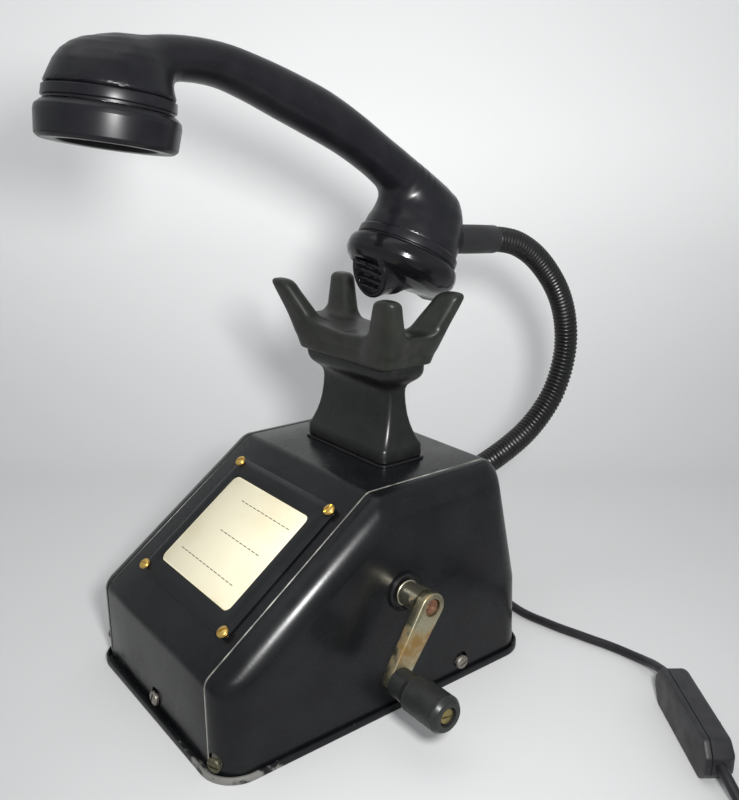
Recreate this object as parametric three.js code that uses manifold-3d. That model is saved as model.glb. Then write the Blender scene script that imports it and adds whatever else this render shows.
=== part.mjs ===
// Crank desk telephone turned into a gooseneck lamp: the handset stands over its cradle on a bent
// gooseneck, its ear cap holds the lamp, and the magneto, ringer and hook switch stay in the housing.
// Millimetres, +Z up, +X on the crank side, -Y at the sloped front. The origin is the centre of the
// base plate's underside.
import * as THREE from "three";
import { mergeVertices } from "three/addons/utils/BufferGeometryUtils.js";
import Module from "manifold-3d";

const wasm = await Module();
wasm.setup();

// ---------------------------------------------------------------- driving dimensions
const GAP = 0.3; // clearance that touching pieces keep
const SHEET = 1.2; // wall of the pressed housing

const BASE = { width: 144, depth: 198, corner: 18, floor: 1.5, rimHeight: 5, rim: 1.5 };
const HOUSING = {
  halfWidth: 70, seam: 55.5, bottom: 2, frontY: -95.5, frontTop: 47.4, slopeTopY: -4.7, top: 114.6,
  backTopY: 76.7, backBendY: 93.3, backBendZ: 45, backY: 95.5, bend: 7,
};
const PLAQUE = {
  halfWidth: 48, fromTop: 12, toBottom: 96, thickness: 2.2, windowHalf: 33.4, windowTop: 25,
  windowBottom: 83.6, windowCorner: 4, screwX: 42.6, screwTop: 16.9, screwBottom: 91.1,
};
const CRADLE = { y: 35 };
const HOOK = { stemZ: 92, bracketZ: 73 };
const CRANK = { y: 6.9, z: 64.5, gripY: -13.7, gripZ: 33.4, armIn: 85.6, armOut: 91, hubRadius: 7 };
const GEARS = { module: 1, wheelTeeth: 48, pinionTeeth: 12, from: 37, to: 44 };
const EAR = { y: -95.5, z: 286.3, tiltDeg: 8.9, radius: 29.6 };
const MOUTH = { y: 61.9, z: 212.9, tiltDeg: 30.6, radius: 31 };
const NECK = { radius: 7.5, sleeveRadius: 8.2, socketZ: 70 };
const CORD = { radius: 2.5, exitX: 18, exitZ: 13 };
const COIL = { x: 275, y: 71, inner: 16.9, outer: 43.3, height: 10.4 };
const SWITCH = { along: [0.8, -0.6], across: [0.6, 0.8], from: 47, to: 114, plate: 177.6, far: 191.6, width: 21 };
const PLUG = { lead: 35, exitDeg: 30, turnRadius: 40.4, z: 7 };

const v3 = (x, y, z) => new THREE.Vector3(x, y, z);
const rad = THREE.MathUtils.degToRad;

// ---------------------------------------------------------------- solids
function signedVolume(geometry) {
  const p = geometry.attributes.position;
  const index = geometry.index;
  const [a, b, c] = [v3(), v3(), v3()];
  let total = 0;
  for (let i = 0; i < index.count; i += 3) {
    a.fromBufferAttribute(p, index.getX(i));
    b.fromBufferAttribute(p, index.getX(i + 1));
    c.fromBufferAttribute(p, index.getX(i + 2));
    total += a.dot(b.cross(c)) / 6;
  }
  return total;
}

// A three.js geometry as a manifold solid, with shared corners merged and its faces turned outward.
function solid(geometry) {
  const bare = geometry.clone();
  bare.deleteAttribute("normal");
  bare.deleteAttribute("uv");
  const merged = mergeVertices(bare, 1e-4);
  const triangles = Array.from(merged.index.array);
  if (signedVolume(merged) < 0) triangles.reverse();
  return new wasm.Manifold(new wasm.Mesh({
    numProp: 3,
    vertProperties: Float32Array.from(merged.attributes.position.array),
    triVerts: Uint32Array.from(triangles),
  }));
}

function geometryOf(body) {
  const mesh = body.getMesh();
  const geometry = new THREE.BufferGeometry();
  geometry.setAttribute("position", new THREE.BufferAttribute(Float32Array.from(mesh.vertProperties), 3));
  geometry.setIndex(new THREE.BufferAttribute(Uint32Array.from(mesh.triVerts), 1));
  geometry.computeVertexNormals();
  return geometry;
}

const join = (first, ...rest) => rest.reduce((sum, piece) => sum.add(piece), first);
const cut = (first, ...rest) => rest.reduce((left, piece) => left.subtract(piece), first);

function box(x0, x1, y0, y1, z0, z1) {
  const geometry = new THREE.BoxGeometry(x1 - x0, y1 - y0, z1 - z0);
  return solid(geometry.translate((x0 + x1) / 2, (y0 + y1) / 2, (z0 + z1) / 2));
}

// Places a shape that was made around +Y so that +Y points along direction and y = 0 lies at origin.
function aim(geometry, origin, direction) {
  const turn = new THREE.Quaternion().setFromUnitVectors(v3(0, 1, 0), direction.clone().normalize());
  return geometry.applyQuaternion(turn).translate(origin.x, origin.y, origin.z);
}

function rod(radius, from, to, sides = 16, farRadius = radius) {
  const axis = to.clone().sub(from);
  const geometry = new THREE.CylinderGeometry(farRadius, radius, axis.length(), sides);
  return solid(aim(geometry.translate(0, axis.length() / 2, 0), from, axis));
}

// profile: [radius, height] pairs from the axis round to the axis, or a closed ring off the axis.
function turned(profile, origin, direction, sides = 28) {
  const points = profile.map(([r, h]) => new THREE.Vector2(r, h));
  if (profile[0][0] > 0) points.push(points[0].clone());
  return solid(aim(new THREE.LatheGeometry(points, sides), origin, direction));
}

// Flat outline carried along the third axis: plane "yz" goes along +X, "xz" along +Y, "xy" along +Z.
function prism(outline, plane, from, to) {
  const shape = new THREE.Shape(outline.map(([a, b]) => new THREE.Vector2(a, b)));
  const geometry = new THREE.ExtrudeGeometry(shape, { depth: to - from, bevelEnabled: false });
  const axes = {
    yz: [v3(0, 1, 0), v3(0, 0, 1), v3(1, 0, 0)],
    xz: [v3(1, 0, 0), v3(0, 0, 1), v3(0, 1, 0)],
    xy: [v3(1, 0, 0), v3(0, 1, 0), v3(0, 0, 1)],
  }[plane];
  geometry.translate(0, 0, from);
  return solid(geometry.applyMatrix4(new THREE.Matrix4().makeBasis(...axes)));
}

// Skin over rings of equal point counts, with a fan over each end.
function loft(rings) {
  const count = rings[0].length;
  const centre = (ring) => ring.reduce((sum, p) => sum.add(p), v3(0, 0, 0)).divideScalar(count);
  const points = [...rings.flat(), centre(rings[0]), centre(rings.at(-1))];
  const [first, last] = [points.length - 2, points.length - 1];
  const index = [];
  for (let i = 0; i < count; i++) {
    const j = (i + 1) % count;
    for (let k = 0; k + 1 < rings.length; k++) {
      const [low, high] = [k * count, (k + 1) * count];
      index.push(low + i, low + j, high + j, low + i, high + j, high + i);
    }
    const end = (rings.length - 1) * count;
    index.push(first, j, i, last, end + i, end + j);
  }
  const geometry = new THREE.BufferGeometry();
  geometry.setAttribute("position", new THREE.Float32BufferAttribute(points.flatMap((p) => [p.x, p.y, p.z]), 3));
  geometry.setIndex(index);
  return solid(geometry);
}

// Rounded rectangle, counter-clockwise, with the corners as arcs of `steps` chords.
function roundedRect(halfX, halfY, radius, steps = 3) {
  const corners = [[1, 1, 0], [-1, 1, 90], [-1, -1, 180], [1, -1, 270]];
  const points = [];
  for (const [sx, sy, start] of corners) {
    for (let i = 0; i <= steps; i++) {
      const angle = rad(start + (90 * i) / steps);
      points.push([
        sx * (halfX - radius) + radius * Math.cos(angle),
        sy * (halfY - radius) + radius * Math.sin(angle),
      ]);
    }
  }
  return points;
}

// Stack of level rounded rectangles: [z, centreX, centreY, halfX, halfY, corner].
function stack(levels, steps = 2) {
  return loft(levels.map(([z, cx, cy, hx, hy, r]) =>
    roundedRect(hx, hy, r, steps).map(([x, y]) => v3(cx + x, cy + y, z))));
}

// Round tube along a list of points, with radii given from start to end.
function tube(points, radii, sides = 12) {
  const curve = new THREE.CatmullRomCurve3(points, false, "centripetal");
  const steps = radii.length - 1;
  const frames = curve.computeFrenetFrames(steps, false);
  const rings = radii.map((radius, k) => {
    const at = curve.getPointAt(k / steps);
    return Array.from({ length: sides }, (_, i) => {
      const angle = (2 * Math.PI * i) / sides;
      const side = frames.normals[k].clone().multiplyScalar(radius * Math.cos(angle));
      const up = frames.binormals[k].clone().multiplyScalar(radius * Math.sin(angle));
      return at.clone().add(side).add(up);
    });
  });
  return loft(rings);
}

function cordTube(points, radius, sides, steps) {
  const section = new THREE.Shape(Array.from({ length: sides }, (_, i) => {
    const angle = (2 * Math.PI * i) / sides;
    return new THREE.Vector2(radius * Math.cos(angle), radius * Math.sin(angle));
  }));
  const route = new THREE.CatmullRomCurve3(points, false, "centripetal");
  return solid(new THREE.ExtrudeGeometry(section, { steps, bevelEnabled: false, extrudePath: route }));
}

// ---------------------------------------------------------------- housing outline
// Side outline of the housing, pulled in by `inset`, as [y, z] points with rounded bends.
function housingOutline(inset, bottom) {
  const h = HOUSING;
  const lines = [
    [[h.frontY, bottom], [h.frontY, h.frontTop]],
    [[h.frontY, h.frontTop], [h.slopeTopY, h.top]],
    [[h.slopeTopY, h.top], [h.backTopY, h.top]],
    [[h.backTopY, h.top], [h.backBendY, h.backBendZ]],
    [[h.backBendY, h.backBendZ], [h.backY, h.bottom]],
  ].map(([a, b]) => {
    const direction = new THREE.Vector2(b[0] - a[0], b[1] - a[1]).normalize();
    const inward = new THREE.Vector2(direction.y, -direction.x);
    return { point: new THREE.Vector2(...a).addScaledVector(inward, inset), direction };
  });
  const meet = (l, m) => {
    const cross = l.direction.cross(m.direction);
    return l.point.clone().addScaledVector(l.direction, m.point.clone().sub(l.point).cross(m.direction) / cross);
  };
  const radius = Math.max(h.bend - inset, 1.5);
  const points = [[lines[0].point.x, bottom]];
  for (let k = 0; k + 1 < lines.length; k++) {
    const corner = meet(lines[k], lines[k + 1]);
    const turn = Math.acos(lines[k].direction.dot(lines[k + 1].direction));
    const back = radius * Math.tan(turn / 2);
    const start = corner.clone().addScaledVector(lines[k].direction, -back);
    const centre = start.clone().add(
      new THREE.Vector2(lines[k].direction.y, -lines[k].direction.x).multiplyScalar(radius));
    for (let i = 0; i <= 3; i++) {
      const p = start.clone().rotateAround(centre, (-turn * i) / 3);
      points.push([p.x, p.y]);
    }
  }
  const foot = lines.at(-1);
  const run = (bottom - foot.point.y) / foot.direction.y;
  points.push([foot.point.x + run * foot.direction.x, bottom]);
  return points;
}

const backWallY = (z) => {
  const h = HOUSING;
  if (z < h.backBendZ) {
    return THREE.MathUtils.mapLinear(z, h.bottom, h.backBendZ, h.backY, h.backBendY);
  }
  return THREE.MathUtils.mapLinear(z, h.backBendZ, h.top, h.backBendY, h.backTopY);
};
const BACK_NORMAL = v3(
  0, HOUSING.top - HOUSING.backBendZ, HOUSING.backBendY - HOUSING.backTopY).normalize();

// Slope frame: u runs down the slope from its top bend, n stands out of it.
const SLOPE_DOWN = v3(
  0, HOUSING.frontY - HOUSING.slopeTopY, HOUSING.frontTop - HOUSING.top).normalize();
const SLOPE_OUT = v3(0, SLOPE_DOWN.z, -SLOPE_DOWN.y);
const slopePoint = (x, u, n) =>
  v3(x, HOUSING.slopeTopY, HOUSING.top).addScaledVector(SLOPE_DOWN, u).addScaledVector(SLOPE_OUT, n);

function onSlope(outline, from, to) {
  const shape = new THREE.Shape(outline.map(([x, u]) => new THREE.Vector2(x, u)));
  const geometry = new THREE.ExtrudeGeometry(shape, { depth: to - from, bevelEnabled: false });
  geometry.translate(0, 0, from);
  const basis = new THREE.Matrix4().makeBasis(v3(1, 0, 0), SLOPE_DOWN, SLOPE_OUT);
  basis.setPosition(0, HOUSING.slopeTopY, HOUSING.top);
  return solid(geometry.applyMatrix4(basis));
}

// Housing screws: where each meets the wall, and which way it points out.
const CORNER_DEG = 20;
const cornerRadius = HOUSING.halfWidth - HOUSING.seam;
const cornerX = HOUSING.seam + cornerRadius * Math.sin(rad(CORNER_DEG));
const cornerY = HOUSING.frontY + cornerRadius * (1 - Math.cos(rad(CORNER_DEG)));
const SCREW_Z = 9.1;
const HOUSING_SCREWS = {
  front: [v3(0, HOUSING.frontY, SCREW_Z), v3(0, -1, 0)],
  front_right: [v3(cornerX, cornerY, SCREW_Z), v3(Math.sin(rad(CORNER_DEG)), -Math.cos(rad(CORNER_DEG)), 0)],
  front_left: [v3(-cornerX, cornerY, SCREW_Z), v3(-Math.sin(rad(CORNER_DEG)), -Math.cos(rad(CORNER_DEG)), 0)],
  right: [v3(HOUSING.halfWidth, 47, SCREW_Z), v3(1, 0, 0)],
  left: [v3(-HOUSING.halfWidth, 47, SCREW_Z), v3(-1, 0, 0)],
  back: [v3(0, backWallY(SCREW_Z), SCREW_Z), v3(0, 1, 0)],
};
const PLAQUE_SCREWS = [
  [-PLAQUE.screwX, PLAQUE.screwTop], [PLAQUE.screwX, PLAQUE.screwTop],
  [-PLAQUE.screwX, PLAQUE.screwBottom], [PLAQUE.screwX, PLAQUE.screwBottom],
];

function screwHoles(radius) {
  return Object.values(HOUSING_SCREWS).map(([at, out]) =>
    rod(radius, at.clone().addScaledVector(out, -7), at.clone().addScaledVector(out, 3), 12));
}

// ---------------------------------------------------------------- housing and base
function basePlate() {
  const { width, depth, corner, floor, rimHeight, rim } = BASE;
  const outer = prism(roundedRect(width / 2, depth / 2, corner, 5), "xy", 0, rimHeight);
  const inner = prism(roundedRect(width / 2 - rim, depth / 2 - rim, corner - rim, 5), "xy", floor, rimHeight + 1);
  const tabs = Object.values(HOUSING_SCREWS).map(([at, out]) => {
    const turn = Math.atan2(out.y, out.x);
    const tab = new THREE.BoxGeometry(1.5, 8, 12.5).rotateZ(turn);
    const middle = at.clone().addScaledVector(out, -(SHEET + GAP + 1.5));
    return solid(tab.translate(middle.x, middle.y, 7));
  });
  return cut(join(cut(outer, inner), ...tabs), ...screwHoles(2.1));
}

function centreShell() {
  const wide = HOUSING.seam - 0.15;
  const outer = prism(housingOutline(0, HOUSING.bottom), "yz", -wide, wide);
  const inner = prism(housingOutline(SHEET, HOUSING.bottom - 1), "yz", -wide - 1, wide + 1);
  const socket = v3(0, backWallY(NECK.socketZ), NECK.socketZ);
  return cut(
    cut(outer, inner),
    box(-13, 13, CRADLE.y - 4, CRADLE.y + 4, HOUSING.top - 4, HOUSING.top + 4),
    rod(5.4, socket.clone().addScaledVector(BACK_NORMAL, -6), socket.clone().addScaledVector(BACK_NORMAL, 6)),
    rod(4.5, v3(CORD.exitX, 88, CORD.exitZ), v3(CORD.exitX, 100, CORD.exitZ)),
    ...PLAQUE_SCREWS.map(([x, u]) => rod(1.5, slopePoint(x, u, -4), slopePoint(x, u, 4), 10)),
    ...screwHoles(2.1),
  );
}

// Pressed side cheek: the housing outline rounded over into a flat side, open inward and downward.
function cheek(side) {
  const bulge = (radius, start, inset, bottom) => loft([0, 22.5, 45, 67.5, 90].map((deg) => {
    const x = start + radius * Math.sin(rad(deg));
    const pull = inset + radius * (1 - Math.cos(rad(deg)));
    return housingOutline(pull, bottom).map(([y, z]) => v3(side * x, y, z));
  }));
  const start = HOUSING.seam + 0.15;
  const outerRadius = HOUSING.halfWidth - start;
  const outer = bulge(outerRadius, start, 0, HOUSING.bottom);
  const inner = join(
    bulge(outerRadius - SHEET, start, SHEET, HOUSING.bottom - 1),
    prism(housingOutline(SHEET, HOUSING.bottom - 1), "yz", ...(side > 0 ? [start - 2, start] : [-start, 2 - start])),
  );
  const crankHole = rod(8.5, v3(60, CRANK.y, CRANK.z), v3(75, CRANK.y, CRANK.z), 24);
  const shell = cut(outer, inner, ...screwHoles(2.1));
  return side > 0 ? cut(shell, crankHole) : shell;
}

function plaqueFrame() {
  const p = PLAQUE;
  const middle = (p.fromTop + p.toBottom) / 2;
  const windowMiddle = (p.windowTop + p.windowBottom) / 2;
  const plate = roundedRect(p.halfWidth, (p.toBottom - p.fromTop) / 2, 3).map(([x, u]) => [x, u + middle]);
  const hole = roundedRect(p.windowHalf, (p.windowBottom - p.windowTop) / 2, p.windowCorner)
    .map(([x, u]) => [x, u + windowMiddle]);
  return cut(
    onSlope(plate, GAP, GAP + p.thickness),
    onSlope(hole, 0, GAP + p.thickness + 1),
    ...PLAQUE_SCREWS.map(([x, u]) => rod(1.5, slopePoint(x, u, -1), slopePoint(x, u, 4), 10)),
  );
}

function labelCard() {
  const p = PLAQUE;
  const windowMiddle = (p.windowTop + p.windowBottom) / 2;
  const card = roundedRect(p.windowHalf - GAP, (p.windowBottom - p.windowTop) / 2 - GAP, p.windowCorner - GAP);
  return onSlope(card.map(([x, u]) => [x, u + windowMiddle]), GAP, 1.1);
}

// Domed slotted screw whose head rests `lift` above `at`.
function screw(at, out, headRadius, headHeight, shankRadius, shankLength, lift) {
  const profile = [
    [0, -shankLength], [shankRadius, -shankLength], [shankRadius, 0], [headRadius, 0],
    [headRadius * 0.86, headHeight * 0.6], [headRadius * 0.5, headHeight * 0.93], [0, headHeight],
  ];
  const seat = at.clone().addScaledVector(out, lift);
  const body = turned(profile, seat, out, 12);
  const slot = new THREE.BoxGeometry(headRadius * 3, headHeight, headRadius * 0.3);
  return cut(body, solid(aim(slot.translate(0, headHeight * 1.05, 0), seat, out)));
}

// ---------------------------------------------------------------- cradle
function neck() {
  const y = CRADLE.y;
  const levels = [
    [116.2, 35, 14, 4], [123, 35, 14, 4], [125.5, 34.2, 12.6, 4], [130, 32.8, 10.2, 3.5],
    [136, 31.4, 7.8, 3], [144, 30.5, 6.4, 3], [158, 30.3, 6.1, 3], [160.5, 32.5, 8, 4],
    [163.5, 38, 10.3, 5], [166.3, 43, 11.8, 6], [168.3, 45, 12.2, 6],
  ];
  const column = stack(levels.map(([z, hx, hy, r]) => [z, 0, y, hx, hy, r]), 3);
  return cut(column, box(-12.5, 12.5, y - 3.1, y + 3.1, 110, 175));
}

function neckGasket() {
  const y = CRADLE.y;
  const pad = stack([[114.9, 0, y, 38, 17, 5], [115.9, 0, y, 38, 17, 5]], 4);
  return cut(pad, box(-12.5, 12.5, y - 3.1, y + 3.1, 110, 120));
}

function cradleFork() {
  const y = CRADLE.y;
  const boat = prism([
    [-50, 179.5], [-46, 175], [-34, 172.6], [34, 172.6], [46, 175], [50, 179.5],
    [47, 187.5], [27.5, 186], [0, 184], [-27.5, 186], [-47, 187.5],
  ], "xz", y - 16.5, y + 16.5);
  const apron = [[-44, 176], [-34, 170.8], [-20, 167.2], [0, 166], [20, 167.2], [34, 170.8], [44, 176]];
  const skirts = [-1, 1].map((s) => prism(apron, "xz", ...(s < 0 ? [y - 16.5, y - 13.6] : [y + 13.6, y + 16.5])));
  const prongs = [];
  for (const sx of [-1, 1]) {
    for (const sy of [-1, 1]) {
      prongs.push(stack([
        [180, sx * 37.5, y + sy * 12, 10.5, 4.4, 3], [190, sx * 39.5, y + sy * 14, 9, 4.3, 3],
        [198, sx * 43.2, y + sy * 17.8, 7.8, 4, 3], [203.5, sx * 46, y + sy * 20.6, 6.8, 3.6, 3],
        [206, sx * 47, y + sy * 21.6, 4.4, 1.8, 1.5],
      ]));
    }
  }
  return cut(join(boat, ...skirts, ...prongs), box(-11.4, 11.4, y - 2.9, y + 2.9, 170, 179));
}

function forkStem() {
  const y = CRADLE.y;
  return join(
    box(-11, 11, y - 2.5, y + 2.5, HOOK.stemZ, 178.6),
    box(-8, 8, y - 5.5, y + 5.5, HOOK.stemZ, HOOK.stemZ + 2),
  );
}

function hookSpring() {
  const turns = 5;
  const perTurn = 10;
  const points = Array.from({ length: turns * perTurn + 1 }, (_, i) => {
    const angle = (2 * Math.PI * i) / perTurn;
    const z = THREE.MathUtils.mapLinear(i, 0, turns * perTurn, HOOK.bracketZ + 2.6, HOOK.stemZ - 0.9);
    return v3(4 * Math.cos(angle), CRADLE.y + 4 * Math.sin(angle), z);
  });
  return tube(points, Array(turns * perTurn + 1).fill(0.5), 6);
}

// Bracket under the housing top that guides the stem, with the contact springs on its left leg.
function hookSwitch() {
  const y = CRADLE.y;
  const low = HOOK.bracketZ;
  const outline = [
    [-26, 111.6], [-17.5, 111.6], [-17.5, low], [17.5, low], [17.5, 111.6], [26, 111.6],
    [26, 113.1], [16, 113.1], [16, low + 1.8], [-16, low + 1.8], [-16, 113.1], [-26, 113.1],
  ];
  const block = box(-16.2, -12.4, y - 3.5, y + 3.5, 78, 90);
  const leaves = [-15, -13.4].map((x) => box(x, x + 0.5, y - 2.5, y + 2.5, 89, 107));
  return join(prism(outline, "xz", y - 6.5, y + 6.5), block, ...leaves);
}

// ---------------------------------------------------------------- crank and magneto
function gearSolid(teeth, y, z, from, to, turnDeg, boreRadius) {
  const pitch = (GEARS.module * teeth) / 2;
  const [tip, root] = [pitch + 0.85 * GEARS.module, pitch - 1.15 * GEARS.module];
  const step = 360 / teeth;
  const outline = [];
  for (let i = 0; i < teeth; i++) {
    const middle = turnDeg + i * step;
    for (const [radius, share] of [[root, -0.3], [tip, -0.12], [tip, 0.12], [root, 0.3]]) {
      const angle = rad(middle + share * step);
      outline.push([y + radius * Math.cos(angle), z + radius * Math.sin(angle)]);
    }
  }
  const wheel = prism(outline, "yz", from, to);
  return boreRadius ? cut(wheel, rod(boreRadius, v3(from - 1, y, z), v3(to + 1, y, z), 20)) : wheel;
}

const ARMATURE_Z = CRANK.z - (GEARS.module * (GEARS.wheelTeeth + GEARS.pinionTeeth)) / 2;

function crankShaft() {
  const profile = [[0, 0], [4, 0], [4, 52.9], [CRANK.hubRadius, 52.9], [CRANK.hubRadius, 66], [0, 66]];
  return turned(profile, v3(CRANK.armIn - GAP - 66, CRANK.y, CRANK.z), v3(1, 0, 0), 24);
}

function crankBush() {
  const profile = [[4.3, 0], [8.2, 0], [8.2, 10.3], [10, 10.3], [10, 11.7], [4.3, 11.7]];
  return turned(profile, v3(60, CRANK.y, CRANK.z), v3(1, 0, 0), 24);
}

function crankArm() {
  const c = CRANK;
  const direction = new THREE.Vector2(c.gripY - c.y, c.gripZ - c.z).normalize();
  const normal = Math.atan2(direction.y, direction.x);
  const arc = (cy, cz, radius, start) => Array.from({ length: 9 }, (_, i) => {
    const angle = normal + start + (Math.PI * i) / 8;
    return [cy + radius * Math.cos(angle), cz + radius * Math.sin(angle)];
  });
  const outline = [...arc(c.gripY, c.gripZ, 5.6, -Math.PI / 2), ...arc(c.y, c.z, 7.2, Math.PI / 2)];
  return cut(
    prism(outline, "yz", c.armIn, c.armOut),
    rod(4.5, v3(c.armIn + 1, c.y, c.z), v3(c.armOut + 1, c.y, c.z), 20),
    rod(2.7, v3(c.armIn - 1, c.gripY, c.gripZ), v3(c.armOut + 1, c.gripY, c.gripZ), 16),
  );
}

function crankGrip() {
  const profile = [
    [2.8, 0], [7.2, 0], [7.3, 9], [9, 12], [9, 30.5], [8.2, 33], [6.6, 34], [4.3, 34], [4.3, 31.4], [2.8, 31.4],
  ];
  return turned(profile, v3(CRANK.armOut + GAP, CRANK.gripY, CRANK.gripZ), v3(1, 0, 0), 24);
}

function gripScrew() {
  const profile = [[0, 0], [2.4, 0], [2.4, 36.9], [3.8, 36.9], [3.8, 38.2], [0, 38.6]];
  const body = turned(profile, v3(CRANK.armIn + 0.4, CRANK.gripY, CRANK.gripZ), v3(1, 0, 0), 14);
  const end = CRANK.armIn + 0.4 + 38.6;
  return cut(body, box(end - 0.8, end + 1, CRANK.gripY - 5, CRANK.gripY + 5, CRANK.gripZ - 0.5, CRANK.gripZ + 0.5));
}

function generatorPlate(from, to, shaftHole) {
  const plate = box(from, to, CRANK.y - 23, CRANK.y + 23, 1.8, 80);
  const low = rod(2.9, v3(from - 1, CRANK.y, ARMATURE_Z), v3(to + 1, CRANK.y, ARMATURE_Z), 16);
  const high = rod(4.3, v3(from - 1, CRANK.y, CRANK.z), v3(to + 1, CRANK.y, CRANK.z), 16);
  return shaftHole ? cut(plate, low, high) : cut(plate, low);
}

// Horseshoe magnet standing over the armature.
function magnet(from, to) {
  const [centre, inner, outer, foot] = [54, 12, 21, 1.8];
  const arc = (radius, start, sweep) => Array.from({ length: 11 }, (_, i) => {
    const angle = start + (sweep * i) / 10;
    return [CRANK.y + radius * Math.cos(angle), centre + radius * Math.sin(angle)];
  });
  const outline = [
    [CRANK.y + outer, foot], ...arc(outer, 0, Math.PI), [CRANK.y - outer, foot],
    [CRANK.y - inner, foot], ...arc(inner, Math.PI, -Math.PI), [CRANK.y + inner, foot],
  ];
  return prism(outline, "yz", from, to);
}

function armature() {
  const axis = (x) => v3(x, CRANK.y, ARMATURE_Z);
  return join(
    rod(10.5, axis(-27), axis(17), 24),
    rod(2.5, axis(-34), axis(45.5), 16),
    gearSolid(GEARS.pinionTeeth, CRANK.y, ARMATURE_Z, GEARS.from - 0.5, GEARS.to + 0.5, 0, 0),
  );
}

// ---------------------------------------------------------------- ringer and electrics
const RINGER = { gongX: 27, gongY: -66, gongZ: 28, pivotY: -43.5, clapperZ: 34 };

function ringerFrame() {
  const { gongX, gongY, pivotY, clapperZ } = RINGER;
  const posts = [-1, 1].map((s) => rod(3, v3(s * gongX, gongY, 4), v3(s * gongX, gongY, 44)));
  const pivot = rod(1.2, v3(0, pivotY, 4), v3(0, pivotY, clapperZ + 6), 12);
  return join(box(-40, 40, -88, -41, 1.8, 4.3), ...posts, pivot);
}

function gong(side) {
  const profile = [
    [21, 0], [20.4, 6], [17, 11], [10, 13.4], [3.3, 13.8], [3.3, 12.6], [9.6, 12.2], [16, 10], [19.2, 5.6], [19.8, 0],
  ];
  return turned(profile, v3(side * RINGER.gongX, RINGER.gongY, RINGER.gongZ), v3(0, 0, 1), 24);
}

function ringerMagnet() {
  const coils = [-1, 1].map((s) => rod(6.5, v3(s * 10.5, -39.6, 34), v3(s * 10.5, -28.8, 34), 16));
  return join(box(-18, 18, -29, -25.5, 27, 41), box(-6, 6, -29, -25.5, 1.8, 28), ...coils);
}

function clapper() {
  const z = RINGER.clapperZ;
  const pivot = (height) => v3(0, RINGER.pivotY, z + height);
  const ball = new THREE.SphereGeometry(4, 14, 10).translate(0, RINGER.gongY, z);
  const arm = join(
    solid(ball),
    rod(1.2, v3(0, RINGER.gongY, z), pivot(0), 10),
    box(-12, 12, RINGER.pivotY - 1.3, RINGER.pivotY + 1.3, z - 3, z + 3),
    rod(3, pivot(-3), pivot(3), 16),
  );
  return cut(arm, rod(1.5, pivot(-5), pivot(5), 12));
}

// Supply box for the lamp, with its terminals on the step at one end.
function lampDriver() {
  const body = stack([[1.9, -36, 70, 25, 14, 3], [23, -36, 70, 25, 14, 3]]);
  const step = box(-12, 4, 60, 80, 1.9, 13);
  const wells = [64, 70, 76].map((y) => rod(2, v3(-4, y, 8), v3(-4, y, 15), 12));
  return cut(join(body, step), ...wells);
}

// ---------------------------------------------------------------- gooseneck
const SOCKET = v3(0, backWallY(NECK.socketZ), NECK.socketZ);
const socketAt = (distance) => SOCKET.clone().addScaledVector(BACK_NORMAL, distance);
const SLEEVE_FROM = v3(0, 99.5, 223.6);
const SLEEVE_TO = v3(0, 131, 221.6);
const LOWER_ROUTE = [socketAt(7.6), socketAt(20), v3(0, 120, 77.3), v3(0, 138, 81.2)];
const UPPER_ROUTE = [
  v3(0, 138.4, 81.3), v3(0, 155, 85.4), v3(0, 170, 91), v3(0, 184, 100.2), v3(0, 196, 113), v3(0, 204, 129), v3(0, 207.3, 147), v3(0, 204.6, 166), v3(0, 196, 184), v3(0, 183, 199.5),
  v3(0, 167.5, 211.5), v3(0, 151, 218.6), v3(0, 138, 220.9), v3(0, 131.3, 221.6),
];

function gooseneckSocket() {
  const profile = [[0, -5], [5.1, -5], [5.1, 0.3], [10, 0.3], [10, 3], [8.6, 7.3], [0, 7.3]];
  return turned(profile, SOCKET, BACK_NORMAL, 24);
}

const gooseneck = (route, steps) => cordTube(route, NECK.radius, 12, steps);

function gooseneckSleeve() {
  const axis = SLEEVE_TO.clone().sub(SLEEVE_FROM).normalize();
  const length = SLEEVE_TO.distanceTo(SLEEVE_FROM);
  const profile = [[0, -8], [5, -8], [5, 0], [NECK.sleeveRadius, 0], [NECK.sleeveRadius, length], [0, length]];
  return turned(profile, SLEEVE_FROM, axis, 24);
}

// ---------------------------------------------------------------- handset
const faceAxis = (end) => v3(0, -Math.sin(rad(end.tiltDeg)), -Math.cos(rad(end.tiltDeg)));
const earUp = faceAxis(EAR).negate();
const mouthUp = faceAxis(MOUTH).negate();
const earAt = v3(0, EAR.y, EAR.z);
const mouthAt = v3(0, MOUTH.y, MOUTH.z);

// Handle stations from ear to mouth: centre [y, z], half width and half thickness.
const HANDLE = [
  [-84, 306.5, 15, 10], [-66, 309.5, 13, 9.6], [-45.4, 308.2, 12, 9.4], [-28, 302.8, 12, 10.3],
  [-10.5, 296.2, 12.4, 11.4], [8, 288.6, 12.8, 11.8], [26, 279.6, 12.8, 11.2], [41, 270.6, 13, 10.8],
  [55, 261.5, 14, 11.2], [69, 250, 17, 13.5], [78, 240, 20, 16],
];

function handle() {
  const rings = HANDLE.map(([y, z, wide, thick], k) => {
    const before = HANDLE[Math.max(k - 1, 0)];
    const after = HANDLE[Math.min(k + 1, HANDLE.length - 1)];
    const along = new THREE.Vector2(after[0] - before[0], after[1] - before[1]).normalize();
    return Array.from({ length: 16 }, (_, i) => {
      const angle = (2 * Math.PI * i) / 16;
      const [side, up] = [wide * Math.cos(angle), thick * Math.sin(angle)];
      return v3(side, y - along.y * up, z + along.x * up);
    });
  });
  return loft(rings);
}

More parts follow.
